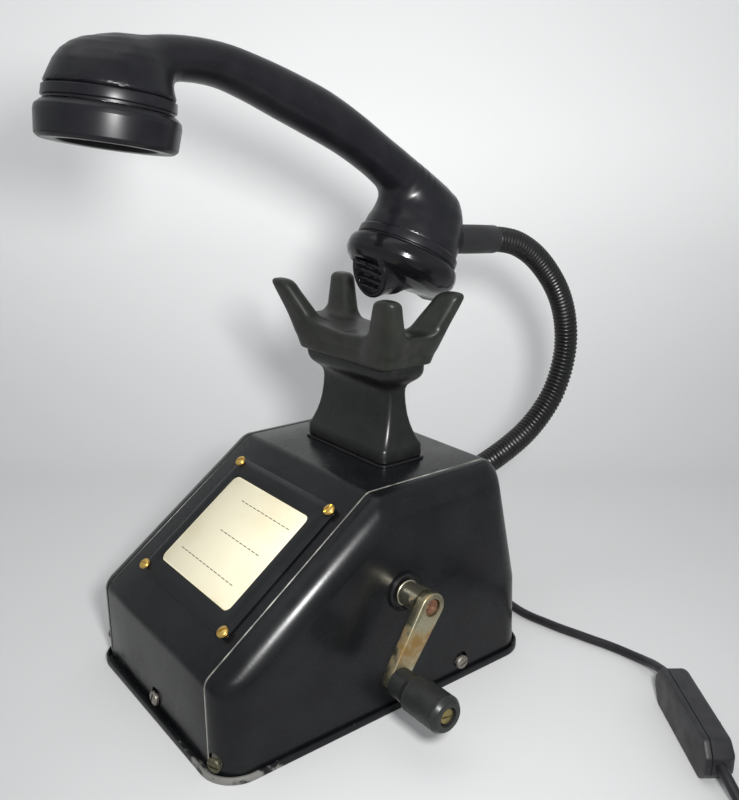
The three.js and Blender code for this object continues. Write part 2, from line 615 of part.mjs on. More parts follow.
function handsetShell() {
  const earCup = turned([
    [0, -5], [24, -5], [24, 9.7], [25.4, 9.7], [24.5, 14], [22.4, 18.5], [19.2, 22.6], [12.4, 27.6], [0, 29.8],
  ], earAt, earUp);
  const mouthCup = turned([
    [0, -5], [25, -5], [25, 9.7], [26.8, 9.7], [26.4, 15], [24.8, 22], [21, 29.5], [14, 35], [0, 38],
  ], mouthAt, mouthUp);
  const earHollow = turned([[0, -6], [21.6, -6], [21.6, 12], [17, 20], [0, 23]], earAt, earUp);
  const mouthHollow = turned([[0, -6], [22.6, -6], [22.6, 12], [19, 22], [0, 27]], mouthAt, mouthUp);
  const axis = SLEEVE_TO.clone().sub(SLEEVE_FROM).normalize();
  const boss = rod(9.4, v3(0, 86, 224.5), SLEEVE_FROM.clone().addScaledVector(axis, -GAP), 20);
  const hole = rod(5.4, v3(0, 76, 225.1), v3(0, 104, 223.3), 20);
  return cut(join(handle(), earCup, mouthCup, boss), earHollow, mouthHollow, hole);
}

const capRing = (radius, inner, at, up) =>
  turned([[inner, 4.6], [radius, 4.6], [radius, 9.4], [inner, 9.4]], at, up);

function earCap() {
  const r = EAR.radius;
  return turned([
    [24.3, 4.2], [r - 2.7, 4.2], [r, 0], [r - 1.5, -12.5], [r - 3.5, -15.3], [20.5, -15.3], [20.5, -12.6], [24.3, -12.6],
  ], earAt, earUp, 32);
}

const lampModule = () => turned([[0, -8.4], [21, -8.4], [21, 6], [14, 12], [0, 12]], earAt, earUp, 24);
const lampLens = () => turned([[0, -12.2], [23.8, -12.2], [23.8, -9.4], [0, -8.8]], earAt, earUp, 24);

// Mouth cap: a shallow dome with the speaking horn moulded on, its grille facing the ear end.
function mouthCap() {
  const r = MOUTH.radius;
  const dome = turned([
    [25.3, 4.2], [r - 2.7, 4.2], [r, 0], [r - 1.2, -4], [27, -8.6], [21, -11.8], [12, -13.6], [0, -14.2],
    [0, -12.2], [20, -10], [25.3, -6.5],
  ], mouthAt, mouthUp, 32);
  const grille = { y: 41.5, z: 207.8, radius: 13 };
  const side = [
    [grille.y + 2.3, grille.z + 10], [grille.y - 1.8, grille.z - 12.6], [50, 196.6], [60, 198.4], [70, 196.6],
    [80, 191.6], [86, 188.6], [88.5, 190.6], [84, 199], [70, 207], [56, 212],
  ];
  const horn = prism(side, "yz", -13, 13);
  return join(dome, horn.subtract(turned([[0, -40], [29, -40], [29, 60], [0, 60]], mouthAt, mouthUp, 32)
    .intersect(turned([[0, -9], [27, -9], [27, 60], [0, 60]], mouthAt, mouthUp, 32))));
}

// ---------------------------------------------------------------- mains cord, switch and plug
const CORD_ROUTE = [
  v3(29.4, 114.4, 8.9), v3(35, 116.7, 6.6), v3(41, 118, 4.6), v3(47.5, 118.9, 3.3), v3(54, 120, 2.7),
  v3(64, 121.7, 2.7), v3(74, 123.6, 2.7), v3(83, 125.9, 2.7), v3(92, 128.1, 2.7), v3(101, 130.5, 2.7),
  v3(109.5, 132.2, 2.7), v3(117, 132.8, 3), v3(124.4, 132, 4.2), v3(131.4, 129.7, 6.3), v3(137.8, 126.4, 8.5),
  v3(143.6, 123.1, 10.1), v3(147.9, 120, 10.5),
];
const LEAD_ROUTE = [
  v3(202.7, 79, 10.5), v3(207, 76.2, 9.5), v3(212.3, 73.7, 7), v3(217.8, 71.4, 4.4), v3(222.8, 68.6, 2.8),
  v3(227, 65.2, 2.7), v3(230.2, 61.2, 2.7),
];

function strainRelief() {
  const y = backWallY(CORD.exitZ);
  const collar = turned(
    [[0, -4.5], [5.4, -4.5], [5.4, -SHEET - GAP], [4.1, -SHEET - GAP], [4.1, 0.3], [6.2, 0.3], [6.2, 2.2], [0, 2.2]],
    v3(CORD.exitX, y, CORD.exitZ), v3(0, 1, 0), 16);
  const tail = tube([
    v3(18, y + 1, 13), v3(18.2, 100, 12.9), v3(19.8, 105.4, 12.3), v3(23.7, 110.6, 10.9), v3(29, 114.2, 9.05),
  ], [4.6, 4.4, 4.2, 4, 3.8, 3.6, 3.4], 12);
  return join(collar, tail);
}

const cordTail = () => cordTube(CORD_ROUTE, CORD.radius, 10, 34);
const cordLead = () => cordTube(LEAD_ROUTE, CORD.radius, 10, 10);

function cordCoil() {
  const { x, y, inner, outer, height } = COIL;
  return turned([[inner, 0.1], [outer, 0.1], [outer, height], [inner, height]], v3(x, y, 0), v3(0, 0, 1), 36);
}

// Switch frame: s runs along the cord, the second axis points from the flat plate to the rocker.
function onSwitch(outline, from, to) {
  const shape = new THREE.Shape(outline.map(([s, z]) => new THREE.Vector2(s, z)));
  const geometry = new THREE.ExtrudeGeometry(shape, { depth: to - from, bevelEnabled: false });
  geometry.translate(0, 0, from);
  const [a, b] = [SWITCH.along, SWITCH.across];
  const basis = new THREE.Matrix4().makeBasis(v3(a[0], a[1], 0), v3(0, 0, 1), v3(b[0], b[1], 0));
  return solid(geometry.applyMatrix4(basis));
}

function switchOutline(inset) {
  const { from, to, width } = SWITCH;
  const [low, high] = [0.1 + inset, width - inset];
  return [
    [from + 7 + inset * 0.4, low], [to - 6 - inset * 0.4, low], [to - inset, 6], [to - inset, width - 6],
    [to - 6 - inset * 0.4, high], [from + 7 + inset * 0.4, high], [from + inset, width - 8], [from + inset, 8],
  ];
}

const switchPoint = (s, across, z) => v3(
  SWITCH.along[0] * s + SWITCH.across[0] * across, SWITCH.along[1] * s + SWITCH.across[1] * across, z);
const ROCKER = { s: 80, half: 11, tiltDeg: 8 };

const switchPlate = () => onSwitch(switchOutline(0), SWITCH.plate, SWITCH.plate + 3);

function switchCover() {
  const body = join(
    onSwitch(switchOutline(0), SWITCH.plate + 3 + GAP, SWITCH.far - 2),
    onSwitch(switchOutline(1.6), SWITCH.far - 2.5, SWITCH.far),
  );
  const { s, half } = ROCKER;
  const well = [[s - half - 1, 4.6], [s + half + 1, 4.6], [s + half + 1, 16.4], [s - half - 1, 16.4]];
  return cut(body, onSwitch(well, SWITCH.far - 7, SWITCH.far + 2));
}

function switchRocker() {
  const { s, half, tiltDeg } = ROCKER;
  const depth = 5;
  const profile = [
    [-half, 1.2], [-half, 5.6], [-half * 0.5, 4.2], [0, 3.8], [half * 0.5, 4.2], [half, 5.6], [half, 1.2], [0, -0.6],
  ];
  const shape = new THREE.Shape(profile.map(([a, b]) => new THREE.Vector2(a, b)));
  const geometry = new THREE.ExtrudeGeometry(shape, { depth: 2 * depth, bevelEnabled: false });
  geometry.translate(0, 0, -depth).rotateZ(rad(tiltDeg));
  const [a, b] = [SWITCH.along, SWITCH.across];
  const basis = new THREE.Matrix4().makeBasis(v3(a[0], a[1], 0), v3(b[0], b[1], 0), v3(0, 0, 1));
  const at = switchPoint(s, SWITCH.far - 4.4, SWITCH.width / 2);
  return solid(geometry.applyMatrix4(basis.setPosition(at)));
}

// The cord leaves the coil's outer turn along a tangent, which runs straight into the plug.
const TANGENT = v3(-Math.sin(rad(PLUG.exitDeg)), Math.cos(rad(PLUG.exitDeg)), 0);
const onTangent = (s) => v3(COIL.x, COIL.y, PLUG.z)
  .add(v3(TANGENT.y, -TANGENT.x, 0).multiplyScalar(PLUG.turnRadius)).addScaledVector(TANGENT, s);

const plugLead = () => rod(CORD.radius, onTangent(21.4), onTangent(PLUG.lead - GAP), 10);

// Flat two-pin plug lying beside the coil.
function plug() {
  const along = TANGENT;
  const side = v3(-along.y, along.x, 0);
  const start = onTangent(PLUG.lead);
  const sections = [
    [0, 4.5, 4, 2], [6, 5.5, 4.6, 2.4], [14, 9, 6, 3], [24, 16.4, 6.85, 4], [30, 17.6, 6.85, 4], [50, 17.6, 6.85, 4],
    [52, 16.6, 6, 4],
  ];
  const body = loft(sections.map(([s, half, high, r]) => roundedRect(half, high, r, 3)
    .map(([a, b]) => start.clone().addScaledVector(along, s).addScaledVector(side, a).add(v3(0, 0, b)))));
  const pins = [-8.75, 8.75].map((offset) => {
    const root = start.clone().addScaledVector(along, 51).addScaledVector(side, offset);
    return rod(2, root, root.clone().addScaledVector(along, 20), 12);
  });
  return join(body, ...pins);
}

// ---------------------------------------------------------------- materials
const finish = (color, roughness, metalness = 0) => new THREE.MeshStandardMaterial({ color, roughness, metalness });
const enamel = finish(0x17181b, 0.32, 0.2);
const rimEnamel = finish(0x2b2b2c, 0.45, 0.4);
const bakelite = finish(0x121214, 0.14);
const dullBakelite = finish(0x2b2c2b, 0.42);
const nickel = finish(0xb3a983, 0.34, 0.9);
const brass = finish(0xb98a2e, 0.36, 0.9);
const steel = finish(0x8d8a84, 0.45, 0.85);
const magnetRed = finish(0x6e2018, 0.5, 0.3);
const copper = finish(0x9a5a2c, 0.5, 0.3);
const paper = finish(0xf1ead0, 0.8);
const rubber = finish(0x161616, 0.6);
const glass = finish(0xf4f1e6, 0.3);
const plastic = finish(0x1c1c1f, 0.45);
const boxGrey = finish(0xd8d6cf, 0.6);

// ---------------------------------------------------------------- assembly
const telephone = new THREE.Group();

function add(name, body, material) {
  const mesh = new THREE.Mesh(geometryOf(body), material);
  mesh.name = name;
  telephone.add(mesh);
}

add("base_plate", basePlate(), rimEnamel);
add("centre_shell", centreShell(), enamel);
add("right_cheek", cheek(1), enamel);
add("left_cheek", cheek(-1), enamel);
add("plaque_frame", plaqueFrame(), enamel);
add("label_card", labelCard(), paper);
PLAQUE_SCREWS.forEach(([x, u], k) => {
  const at = slopePoint(x, u, GAP + PLAQUE.thickness);
  add(`plaque_screw_${k + 1}`, screw(at, SLOPE_OUT, 3, 1.9, 1.2, 6, GAP), brass);
});
for (const [place, [at, out]] of Object.entries(HOUSING_SCREWS)) {
  add(`housing_screw_${place}`, screw(at, out, 3.8, 2.3, 1.8, 6.5, place === "back" ? 0.6 : GAP), steel);
}

add("neck_gasket", neckGasket(), rubber);
add("neck_column", neck(), bakelite);
add("cradle_fork", cradleFork(), dullBakelite);
add("fork_stem", forkStem(), steel);
add("hook_spring", hookSpring(), steel);
add("hook_switch", hookSwitch(), steel);

add("crank_bush", crankBush(), dullBakelite);
add("crank_shaft", crankShaft(), nickel);
add("crank_arm", crankArm(), nickel);
add("crank_set_screw", rod(4.2, v3(CRANK.armIn + 1.3, CRANK.y, CRANK.z), v3(90, CRANK.y, CRANK.z), 16), steel);
add("crank_grip", crankGrip(), dullBakelite);
add("grip_screw", gripScrew(), brass);
add("drive_gear", gearSolid(
  GEARS.wheelTeeth, CRANK.y, CRANK.z, GEARS.from, GEARS.to, 180 / GEARS.wheelTeeth, 4.3), brass);
add("magneto_armature", armature(), steel);
add("magneto_plate_right", generatorPlate(21, 23.5, true), steel);
add("magneto_plate_left", generatorPlate(-33, -30.5, false), steel);
add("magneto_magnet_right", magnet(-4, 18), magnetRed);
add("magneto_magnet_left", magnet(-28, -6), magnetRed);

add("ringer_frame", ringerFrame(), steel);
add("gong_right", gong(1), brass);
add("gong_left", gong(-1), brass);
add("ringer_magnet", ringerMagnet(), copper);
add("ringer_clapper", clapper(), steel);
add("lamp_driver", lampDriver(), boxGrey);

add("gooseneck_socket", gooseneckSocket(), rubber);
add("gooseneck_lower", gooseneck(LOWER_ROUTE, 5), rubber);
add("gooseneck_upper", gooseneck(UPPER_ROUTE, 36), rubber);
add("gooseneck_sleeve", gooseneckSleeve(), rubber);
add("handset_shell", handsetShell(), bakelite);
add("ear_ring", capRing(27, 24.3, earAt, earUp), bakelite);
add("ear_cap", earCap(), bakelite);
add("lamp_module", lampModule(), steel);
add("lamp_lens", lampLens(), glass);
add("mouth_ring", capRing(28.2, 25.3, mouthAt, mouthUp), bakelite);
add("mouth_cap", mouthCap(), bakelite);

add("strain_relief", strainRelief(), rubber);
add("cord_tail", cordTail(), rubber);
add("switch_plate", switchPlate(), plastic);
add("switch_cover", switchCover(), plastic);
add("switch_rocker", switchRocker(), plastic);
add("cord_lead", cordLead(), rubber);
add("cord_coil", cordCoil(), rubber);
add("plug_lead", plugLead(), rubber);
add("mains_plug", plug(), plastic);

export default telephone;
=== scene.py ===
"""Looks for the crank desk telephone lamp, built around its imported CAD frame.

Shapes are worked out in millimetres in the CAD's own axes and turned into metres when a piece is made.
"""
import itertools
import math

import bmesh
import bpy
import numpy as np
from mathutils import Matrix, Vector


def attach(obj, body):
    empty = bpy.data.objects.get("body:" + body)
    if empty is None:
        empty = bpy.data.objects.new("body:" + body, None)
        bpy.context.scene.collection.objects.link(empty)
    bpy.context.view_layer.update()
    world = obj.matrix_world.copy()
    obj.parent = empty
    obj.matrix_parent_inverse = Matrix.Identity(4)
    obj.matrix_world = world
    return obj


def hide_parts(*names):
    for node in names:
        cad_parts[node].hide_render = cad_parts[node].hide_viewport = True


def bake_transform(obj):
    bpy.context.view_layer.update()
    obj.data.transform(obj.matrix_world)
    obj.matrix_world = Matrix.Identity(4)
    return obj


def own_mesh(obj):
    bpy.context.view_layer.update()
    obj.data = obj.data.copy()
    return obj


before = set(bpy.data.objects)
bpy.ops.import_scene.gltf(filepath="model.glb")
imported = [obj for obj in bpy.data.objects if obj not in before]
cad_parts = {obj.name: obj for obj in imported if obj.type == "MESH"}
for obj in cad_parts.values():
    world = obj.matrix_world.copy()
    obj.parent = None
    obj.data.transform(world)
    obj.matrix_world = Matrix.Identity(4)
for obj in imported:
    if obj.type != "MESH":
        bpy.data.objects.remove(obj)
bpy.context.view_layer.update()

MM = 0.001
X_AXIS, Z_AXIS = Vector((1, 0, 0)), Vector((0, 0, 1))

# ---- sizes in millimetres
GAP = 0.3  # clearance between pieces
SHEET = 1.2  # thickness of the housing's steel
BASE = {"width": 144.0, "depth": 198.0, "corner": 18.0, "floor": 1.5, "rim_height": 3.8}
HOUSING = {
    "half_width": 70.0, "seam": 55.5, "bottom": 2.0, "front_y": -95.5, "front_top": 47.4,
    "slope_top_y": -4.7, "top": 114.6, "back_top_y": 76.7, "back_bend_y": 93.3, "back_bend_z": 45.0,
    "back_y": 95.5, "bend": 7.0,
}
# Tops and bottoms are distances down the slope from its top edge.
PLAQUE = {
    "middle": 2.8, "half_width": 45.4, "from_top": 14.4, "to_bottom": 94.2, "thickness": 2.2,
    "window_middle": 2.0, "window_half": 35.8, "window_top": 25.0, "window_bottom": 84.4,
    "window_corner": 4.0, "screw_middle": 3.7, "screw_x": 42.4, "screw_top": 17.6, "screw_bottom": 91.7,
}
CRADLE_Y = 35.0
CRANK = {"y": 6.9, "z": 64.5, "grip_y": -13.7, "grip_z": 33.4, "arm_in": 85.6, "arm_out": 91.0}
EAR = {"y": -95.5, "z": 286.3, "tilt": 8.9, "radius": 29.6}
MOUTH = {"y": 61.7, "z": 214.2, "tilt": 28.6}
SLEEVE_FROM = Vector((0, 99.5, 223.6))
SLEEVE_TO = Vector((0, 131.0, 221.6))
SLEEVE_AXIS = (SLEEVE_TO - SLEEVE_FROM).normalized()
SLEEVE_LENGTH = (SLEEVE_TO - SLEEVE_FROM).length
CORD = {"radius": 2.5, "exit_x": 18.0, "exit_z": 13.0}
COIL = {"x": 275.0, "y": 71.0}
SWITCH = {"from": 47.0, "to": 114.0, "plate": 177.6, "far": 191.6, "width": 21.0}
PLUG = {"lead": 35.0, "exit_deg": 30.0, "turn_radius": 40.4, "z": 7.0}

# ---- camera
CAMERA_AT = (361.1, -240.0, 273.3)
CAMERA_YAW = 52.26
CAMERA_DOWN = 16.28
CAMERA_LENS = 38.97


def make_camera():
    data = bpy.data.cameras.new("camera")
    data.lens = CAMERA_LENS
    data.sensor_width = 36
    data.clip_start = 0.01
    camera = bpy.data.objects.new("camera", data)
    camera.location = Vector(CAMERA_AT) * MM
    camera.rotation_euler = (math.radians(90 - CAMERA_DOWN), 0, math.radians(CAMERA_YAW))
    bpy.context.scene.collection.objects.link(camera)
    bpy.context.scene.camera = camera


# ---- curves and profiles
def smooth_path(points, per_span):
    """Centripetal Catmull-Rom curve through the points."""
    points = [Vector(p) for p in points]
    padded = [2 * points[0] - points[1], *points, 2 * points[-1] - points[-2]]
    path = []
    for p0, p1, p2, p3 in zip(padded, padded[1:], padded[2:], padded[3:]):
        d1, d2, d3 = ((b - a).length ** 0.5 for a, b in ((p0, p1), (p1, p2), (p2, p3)))
        m1 = (p2 - p1) + d2 * ((p1 - p0) / d1 - (p2 - p0) / (d1 + d2))
        m2 = (p2 - p1) + d2 * ((p3 - p2) / d3 - (p3 - p1) / (d2 + d3))
        for k in range(per_span):
            t = k / per_span
            path.append((2 * t**3 - 3 * t**2 + 1) * p1 + (t**3 - 2 * t**2 + t) * m1
                        + (3 * t**2 - 2 * t**3) * p2 + (t**3 - t**2) * m2)
    return path + [points[-1]]


def arc_lengths(path):
    """The path as an array, and how far along it each point is."""
    array = np.array([tuple(p) for p in path])
    steps = np.linalg.norm(np.diff(array, axis=0), axis=1)
    return array, np.concatenate([[0], np.cumsum(steps)])


def point_along(array, along, distance):
    return Vector([np.interp(distance, along, array[:, k]) for k in range(3)])


def even_path(path, count):
    """The same curve with its points at equal distances."""
    array, along = arc_lengths(path)
    return [point_along(array, along, s) for s in np.linspace(0, along[-1], count)]


def filleted(corners, steps=4, closed=False):
    """Outline with each corner (a, b, radius) rounded by an arc; a corner without radius stays sharp."""
    points = []
    count = len(corners)
    for k, (a, b, *rest) in enumerate(corners):
        here = Vector((a, b))
        ends = not closed and k in (0, count - 1)
        if ends or not rest:
            points.append((a, b))
            continue
        before = Vector(corners[k - 1][:2]) - here
        after = Vector(corners[(k + 1) % count][:2]) - here
        angle = before.angle(after)
        back = min(rest[0] / math.tan(angle / 2), 0.49 * before.length, 0.49 * after.length)
        radius = back * math.tan(angle / 2)
        bisector = (before.normalized() + after.normalized()).normalized()
        centre = here + bisector * (radius / math.sin(angle / 2))
        start = here + before.normalized() * back - centre
        turn = math.pi - angle
        side = 1 if start.x * after.y - start.y * after.x > 0 else -1
        for i in range(steps + 1):
            p = start.copy()
            p.rotate(Matrix.Rotation(side * turn * i / steps, 2))
            points.append(tuple(centre + p))
    return points


def rounded_rect(half_x, half_y, radius, steps):
    """Outline of a rectangle with round corners, centred on the origin."""
    points = []
    for sx, sy, start in ((1, 1, 0), (-1, 1, 90), (-1, -1, 180), (1, -1, 270)):
        for i in range(steps + 1):
            angle = math.radians(start + 90 * i / steps)
            points.append((sx * (half_x - radius) + radius * math.cos(angle),
                           sy * (half_y - radius) + radius * math.sin(angle)))
    return points


# ---- meshes
def loft(rings, looped=False):
    """Points and faces of a skin over rings with equal point counts; it has end faces unless looped."""
    count = len(rings[0])
    points = [tuple(p) for ring in rings for p in ring]
    faces = []
    pairs = list(zip(range(len(rings)), range(1, len(rings))))
    if looped:
        pairs.append((len(rings) - 1, 0))
    for low, high in pairs:
        for i in range(count):
            j = (i + 1) % count
            faces.append((low * count + i, low * count + j, high * count + j, high * count + i))
    if not looped:
        faces.append(tuple(reversed(range(count))))
        faces.append(tuple(range((len(rings) - 1) * count, len(rings) * count)))
    return points, faces


def axis_frame(axis):
    """Matrix whose Z column points along axis."""
    return Z_AXIS.rotation_difference(Vector(axis)).to_matrix()


def lathe(profile, origin, axis, sides, closed=False):
    """Turned body: (radius, height) points from axis to axis, or a closed ring off the axis."""
    turn = axis_frame(axis)
    origin = Vector(origin)
    points, rows = [], []
    for r, h in profile:
        if r < 1e-6:
            rows.append([len(points)] * sides)
            points.append(tuple(origin + turn @ Vector((0, 0, h))))
            continue
        rows.append(list(range(len(points), len(points) + sides)))
        for i in range(sides):
            angle = 2 * math.pi * i / sides
            points.append(tuple(origin + turn @ Vector((r * math.cos(angle), r * math.sin(angle), h))))
    faces = []
    pairs = list(zip(rows, rows[1:])) + ([(rows[-1], rows[0])] if closed else [])
    for low, high in pairs:
        for i in range(sides):
            j = (i + 1) % sides
            ring = []
            for corner in (low[i], low[j], high[j], high[i]):
                if corner not in ring:
                    ring.append(corner)
            if len(ring) > 2:
                faces.append(tuple(ring))
    return points, faces


def turned(corners, origin, axis, sides=64, steps=4, closed=False):
    """Turned body from an outline whose corners are (radius, height, rounding)."""
    return lathe(filleted(corners, steps, closed), origin, axis, sides, closed)


def cylinder(radius, height, origin, axis, sides=48):
    """Plain round bar, used to cut holes."""
    return lathe([(0, 0), (radius, 0), (radius, height), (0, height)], origin, axis, sides)


def hoop(centre, u, v, radius, sides):
    """Circle of points in the plane of the unit vectors u and v."""
    angles = (2 * math.pi * i / sides for i in range(sides))
    return [centre + (u * math.cos(a) + v * math.sin(a)) * radius for a in angles]


def joined(*parts):
    """Several shapes as one."""
    points, faces = [], []
    for more_points, more_faces in parts:
        start = len(points)
        points += list(more_points)
        faces += [tuple(start + k for k in face) for face in more_faces]
    return points, faces


def block(centre, half, turn=None):
    """Box with its half sizes along the turned axes."""
    turn = turn or Matrix.Identity(3)
    signs = [(x, y, z) for z in (-1, 1) for y in (-1, 1) for x in (-1, 1)]
    points = [tuple(Vector(centre) + turn @ Vector([s * h for s, h in zip(sign, half)])) for sign in signs]
    return points, [(0, 2, 3, 1), (4, 5, 7, 6), (0, 1, 5, 4), (2, 6, 7, 3), (0, 4, 6, 2), (1, 3, 7, 5)]


def shade(mesh, sharp_deg):
    mesh.shade_smooth()
    mesh.set_sharp_from_angle(angle=math.radians(sharp_deg))


def mesh_object(name, shape, sharp_deg=35):
    """Object from points in millimetres and faces, smooth up to the sharp angle."""
    points, faces = shape
    mesh = bpy.data.meshes.new(name)
    mesh.from_pydata([tuple(c * MM for c in p) for p in points], [], faces)
    work = bmesh.new()
    work.from_mesh(mesh)
    bmesh.ops.remove_doubles(work, verts=work.verts, dist=1e-7)
    bmesh.ops.recalc_face_normals(work, faces=work.faces)
    work.to_mesh(mesh)
    work.free()
    shade(mesh, sharp_deg)
    obj = bpy.data.objects.new(name, mesh)
    bpy.context.scene.collection.objects.link(obj)
    return obj


def apply_modifiers(obj, sharp_deg=35):
    graph = bpy.context.evaluated_depsgraph_get()
    graph.update()
    mesh = bpy.data.meshes.new_from_object(obj.evaluated_get(graph))
    obj.modifiers.clear()
    old = obj.data
    obj.data = mesh
    bpy.data.meshes.remove(old)
    shade(obj.data, sharp_deg)
    return obj


def bevelled(obj, width):
    modifier = obj.modifiers.new("bevel", "BEVEL")
    modifier.width = width * MM
    modifier.segments = 3
    modifier.limit_method = "ANGLE"
    modifier.angle_limit = math.radians(30)
    return apply_modifiers(obj)


def cut_by(obj, *shapes):
    """Cuts the shapes out of the piece."""
    for k, shape in enumerate(shapes):
        tool = mesh_object(f"tool_{k}", shape)
        modifier = obj.modifiers.new("cut", "BOOLEAN")
        modifier.operation = "DIFFERENCE"
        modifier.solver = "EXACT"
        modifier.object = tool
        apply_modifiers(obj)
        bpy.data.objects.remove(tool)
    return obj


def finish_piece(obj, body, slot, material, *nodes):
    obj.data.materials.clear()
    obj.data.materials.append(MAT[material])
    if body:
        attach(obj, body)
    if nodes:
        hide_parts(*nodes)
    return obj


def piece(name, shape, body, slot, material, *nodes, sharp=35):
    """Makes a piece that needs no cutting and dresses it."""
    return finish_piece(mesh_object(name, shape, sharp), body, slot, material, *nodes)


# ---- surfaces given by a distance field
def polygon_distance(u, v, corners):
    """Signed distance to a polygon, negative inside."""
    best = np.full(u.shape, np.inf)
    sign = np.ones(u.shape)
    for (ax, ay), (bx, by) in zip(corners, corners[-1:] + corners[:-1]):
        ex, ey = bx - ax, by - ay
        wx, wy = u - ax, v - ay
        t = np.clip((wx * ex + wy * ey) / (ex * ex + ey * ey), 0, 1)
        best = np.minimum(best, (wx - ex * t) ** 2 + (wy - ey * t) ** 2)
        above, below, left = v >= ay, v < by, ex * wy > ey * wx
        flips = (above & below & left) | (~above & ~below & ~left)
        sign = np.where(flips, -sign, sign)
    return sign * np.sqrt(best)


def soft_min(a, b, blend):
    """The smaller of two distances, rounded where they meet."""
    h = np.clip(0.5 + 0.5 * (b - a) / blend, 0, 1)
    return b * (1 - h) + a * h - blend * h * (1 - h)


def soft_max(a, b, blend):
    return -soft_min(-a, -b, blend)


def turned_distance(p, origin, axis, corners):
    """Distance to the body that the (radius, height) polygon makes when it turns about the axis."""
    rel = p - np.array(origin)
    axis = np.array(axis) / np.linalg.norm(axis)
    height = rel @ axis
    radius = np.sqrt(np.maximum((rel * rel).sum(-1) - height * height, 0))
    return polygon_distance(radius, height, corners)


def swept_distance(p, stations):
    """Distance to an elliptical bar in the plane x = 0: stations are (y, z, half width, half thickness)."""
    best = np.full(p.shape[:-1], np.inf)
    for (ay, az, aw, at), (by, bz, bw, bt) in zip(stations, stations[1:]):
        ey, ez = by - ay, bz - az
        wy, wz = p[..., 1] - ay, p[..., 2] - az
        t = np.clip((wy * ey + wz * ez) / (ey * ey + ez * ez), 0, 1)
        length = math.hypot(ey, ez)
        across = (wy - ey * t) * (-ez / length) + (wz - ez * t) * (ey / length)
        beyond = (wy - ey * t) * (ey / length) + (wz - ez * t) * (ez / length)
        wide, thick = aw + (bw - aw) * t, at + (bt - at) * t
        k = np.sqrt((p[..., 0] / wide) ** 2 + (across / thick) ** 2 + (beyond / thick) ** 2)
        best = np.minimum(best, (k - 1) * np.minimum(wide, thick))
    return best


def gradient(field, p, step=0.05):
    """Slope of the field at each point."""
    out = np.empty_like(p)
    for k in range(3):
        shift = np.zeros(3)
        shift[k] = step
        out[:, k] = (field(p + shift) - field(p - shift)) / (2 * step)
    return out


def settle(field, p, rounds=3):
    """Moves points along the gradient onto the surface."""
    for _ in range(rounds):
        slope = gradient(field, p)
        size = np.maximum((slope * slope).sum(1), 0.05)
        p = p - np.clip(field(p) / size, -1.0, 1.0)[:, None] * slope
    return p


def cell_numbers(inside):
    """Numbers the cells that the surface passes through; the others are -1."""
    cells = tuple(n - 1 for n in inside.shape)
    corners = np.zeros(cells, int)
    for dx, dy, dz in itertools.product((0, 1), repeat=3):
        corners += inside[dx:dx + cells[0], dy:dy + cells[1], dz:dz + cells[2]]
    active = (corners > 0) & (corners < 8)
    number = np.full(cells, -1)
    number[active] = np.arange(active.sum())
    return number


def crossing_quads(inside, number):
    """A face for each grid edge that crosses the surface, between the four cells round that edge."""
    quads = []
    for axis in range(3):
        ahead, behind = [slice(None)] * 3, [slice(None)] * 3
        ahead[axis], behind[axis] = slice(1, None), slice(None, -1)
        u, v = (a for a in range(3) if a != axis)
        for at in np.argwhere(inside[tuple(ahead)] != inside[tuple(behind)]):
            if min(at[u], at[v]) < 1:
                continue
            ring = []
            for du, dv in ((0, 0), (-1, 0), (-1, -1), (0, -1)):
                place = list(at)
                place[u] += du
                place[v] += dv
                ring.append(number[tuple(place)])
            quads.append(ring)
    return np.array(quads)


def evened(field, points, quads):
    """Spreads the points evenly over the surface."""
    for _ in range(4):
        total, weight = np.zeros_like(points), np.zeros(len(points))
        for a in range(4):
            for b in ((a + 1) % 4, (a - 1) % 4):
                np.add.at(total, quads[:, a], points[quads[:, b]])
                np.add.at(weight, quads[:, a], 1)
        points = settle(field, 0.4 * points + 0.6 * total / weight[:, None], 2)
    return points


def surface_of(field, low, high, cell):
    """Points and faces of the surface where the field is zero, inside the box from low to high."""
    axes = [np.arange(a, b + cell, cell) for a, b in zip(low, high)]
    inside = field(np.stack(np.meshgrid(*axes, indexing="ij"), axis=-1)) < 0
    number = cell_numbers(inside)
    points = np.argwhere(number >= 0) * cell + np.array(low) + cell / 2
    quads = crossing_quads(inside, number)
    points = evened(field, settle(field, points), quads)
    return points.tolist(), quads.tolist()


# ---- materials
SOCKETS = {
    "color": "Base Color", "rough": "Roughness", "metal": "Metallic", "normal": "Normal",
    "specular": "Specular IOR Level",
}


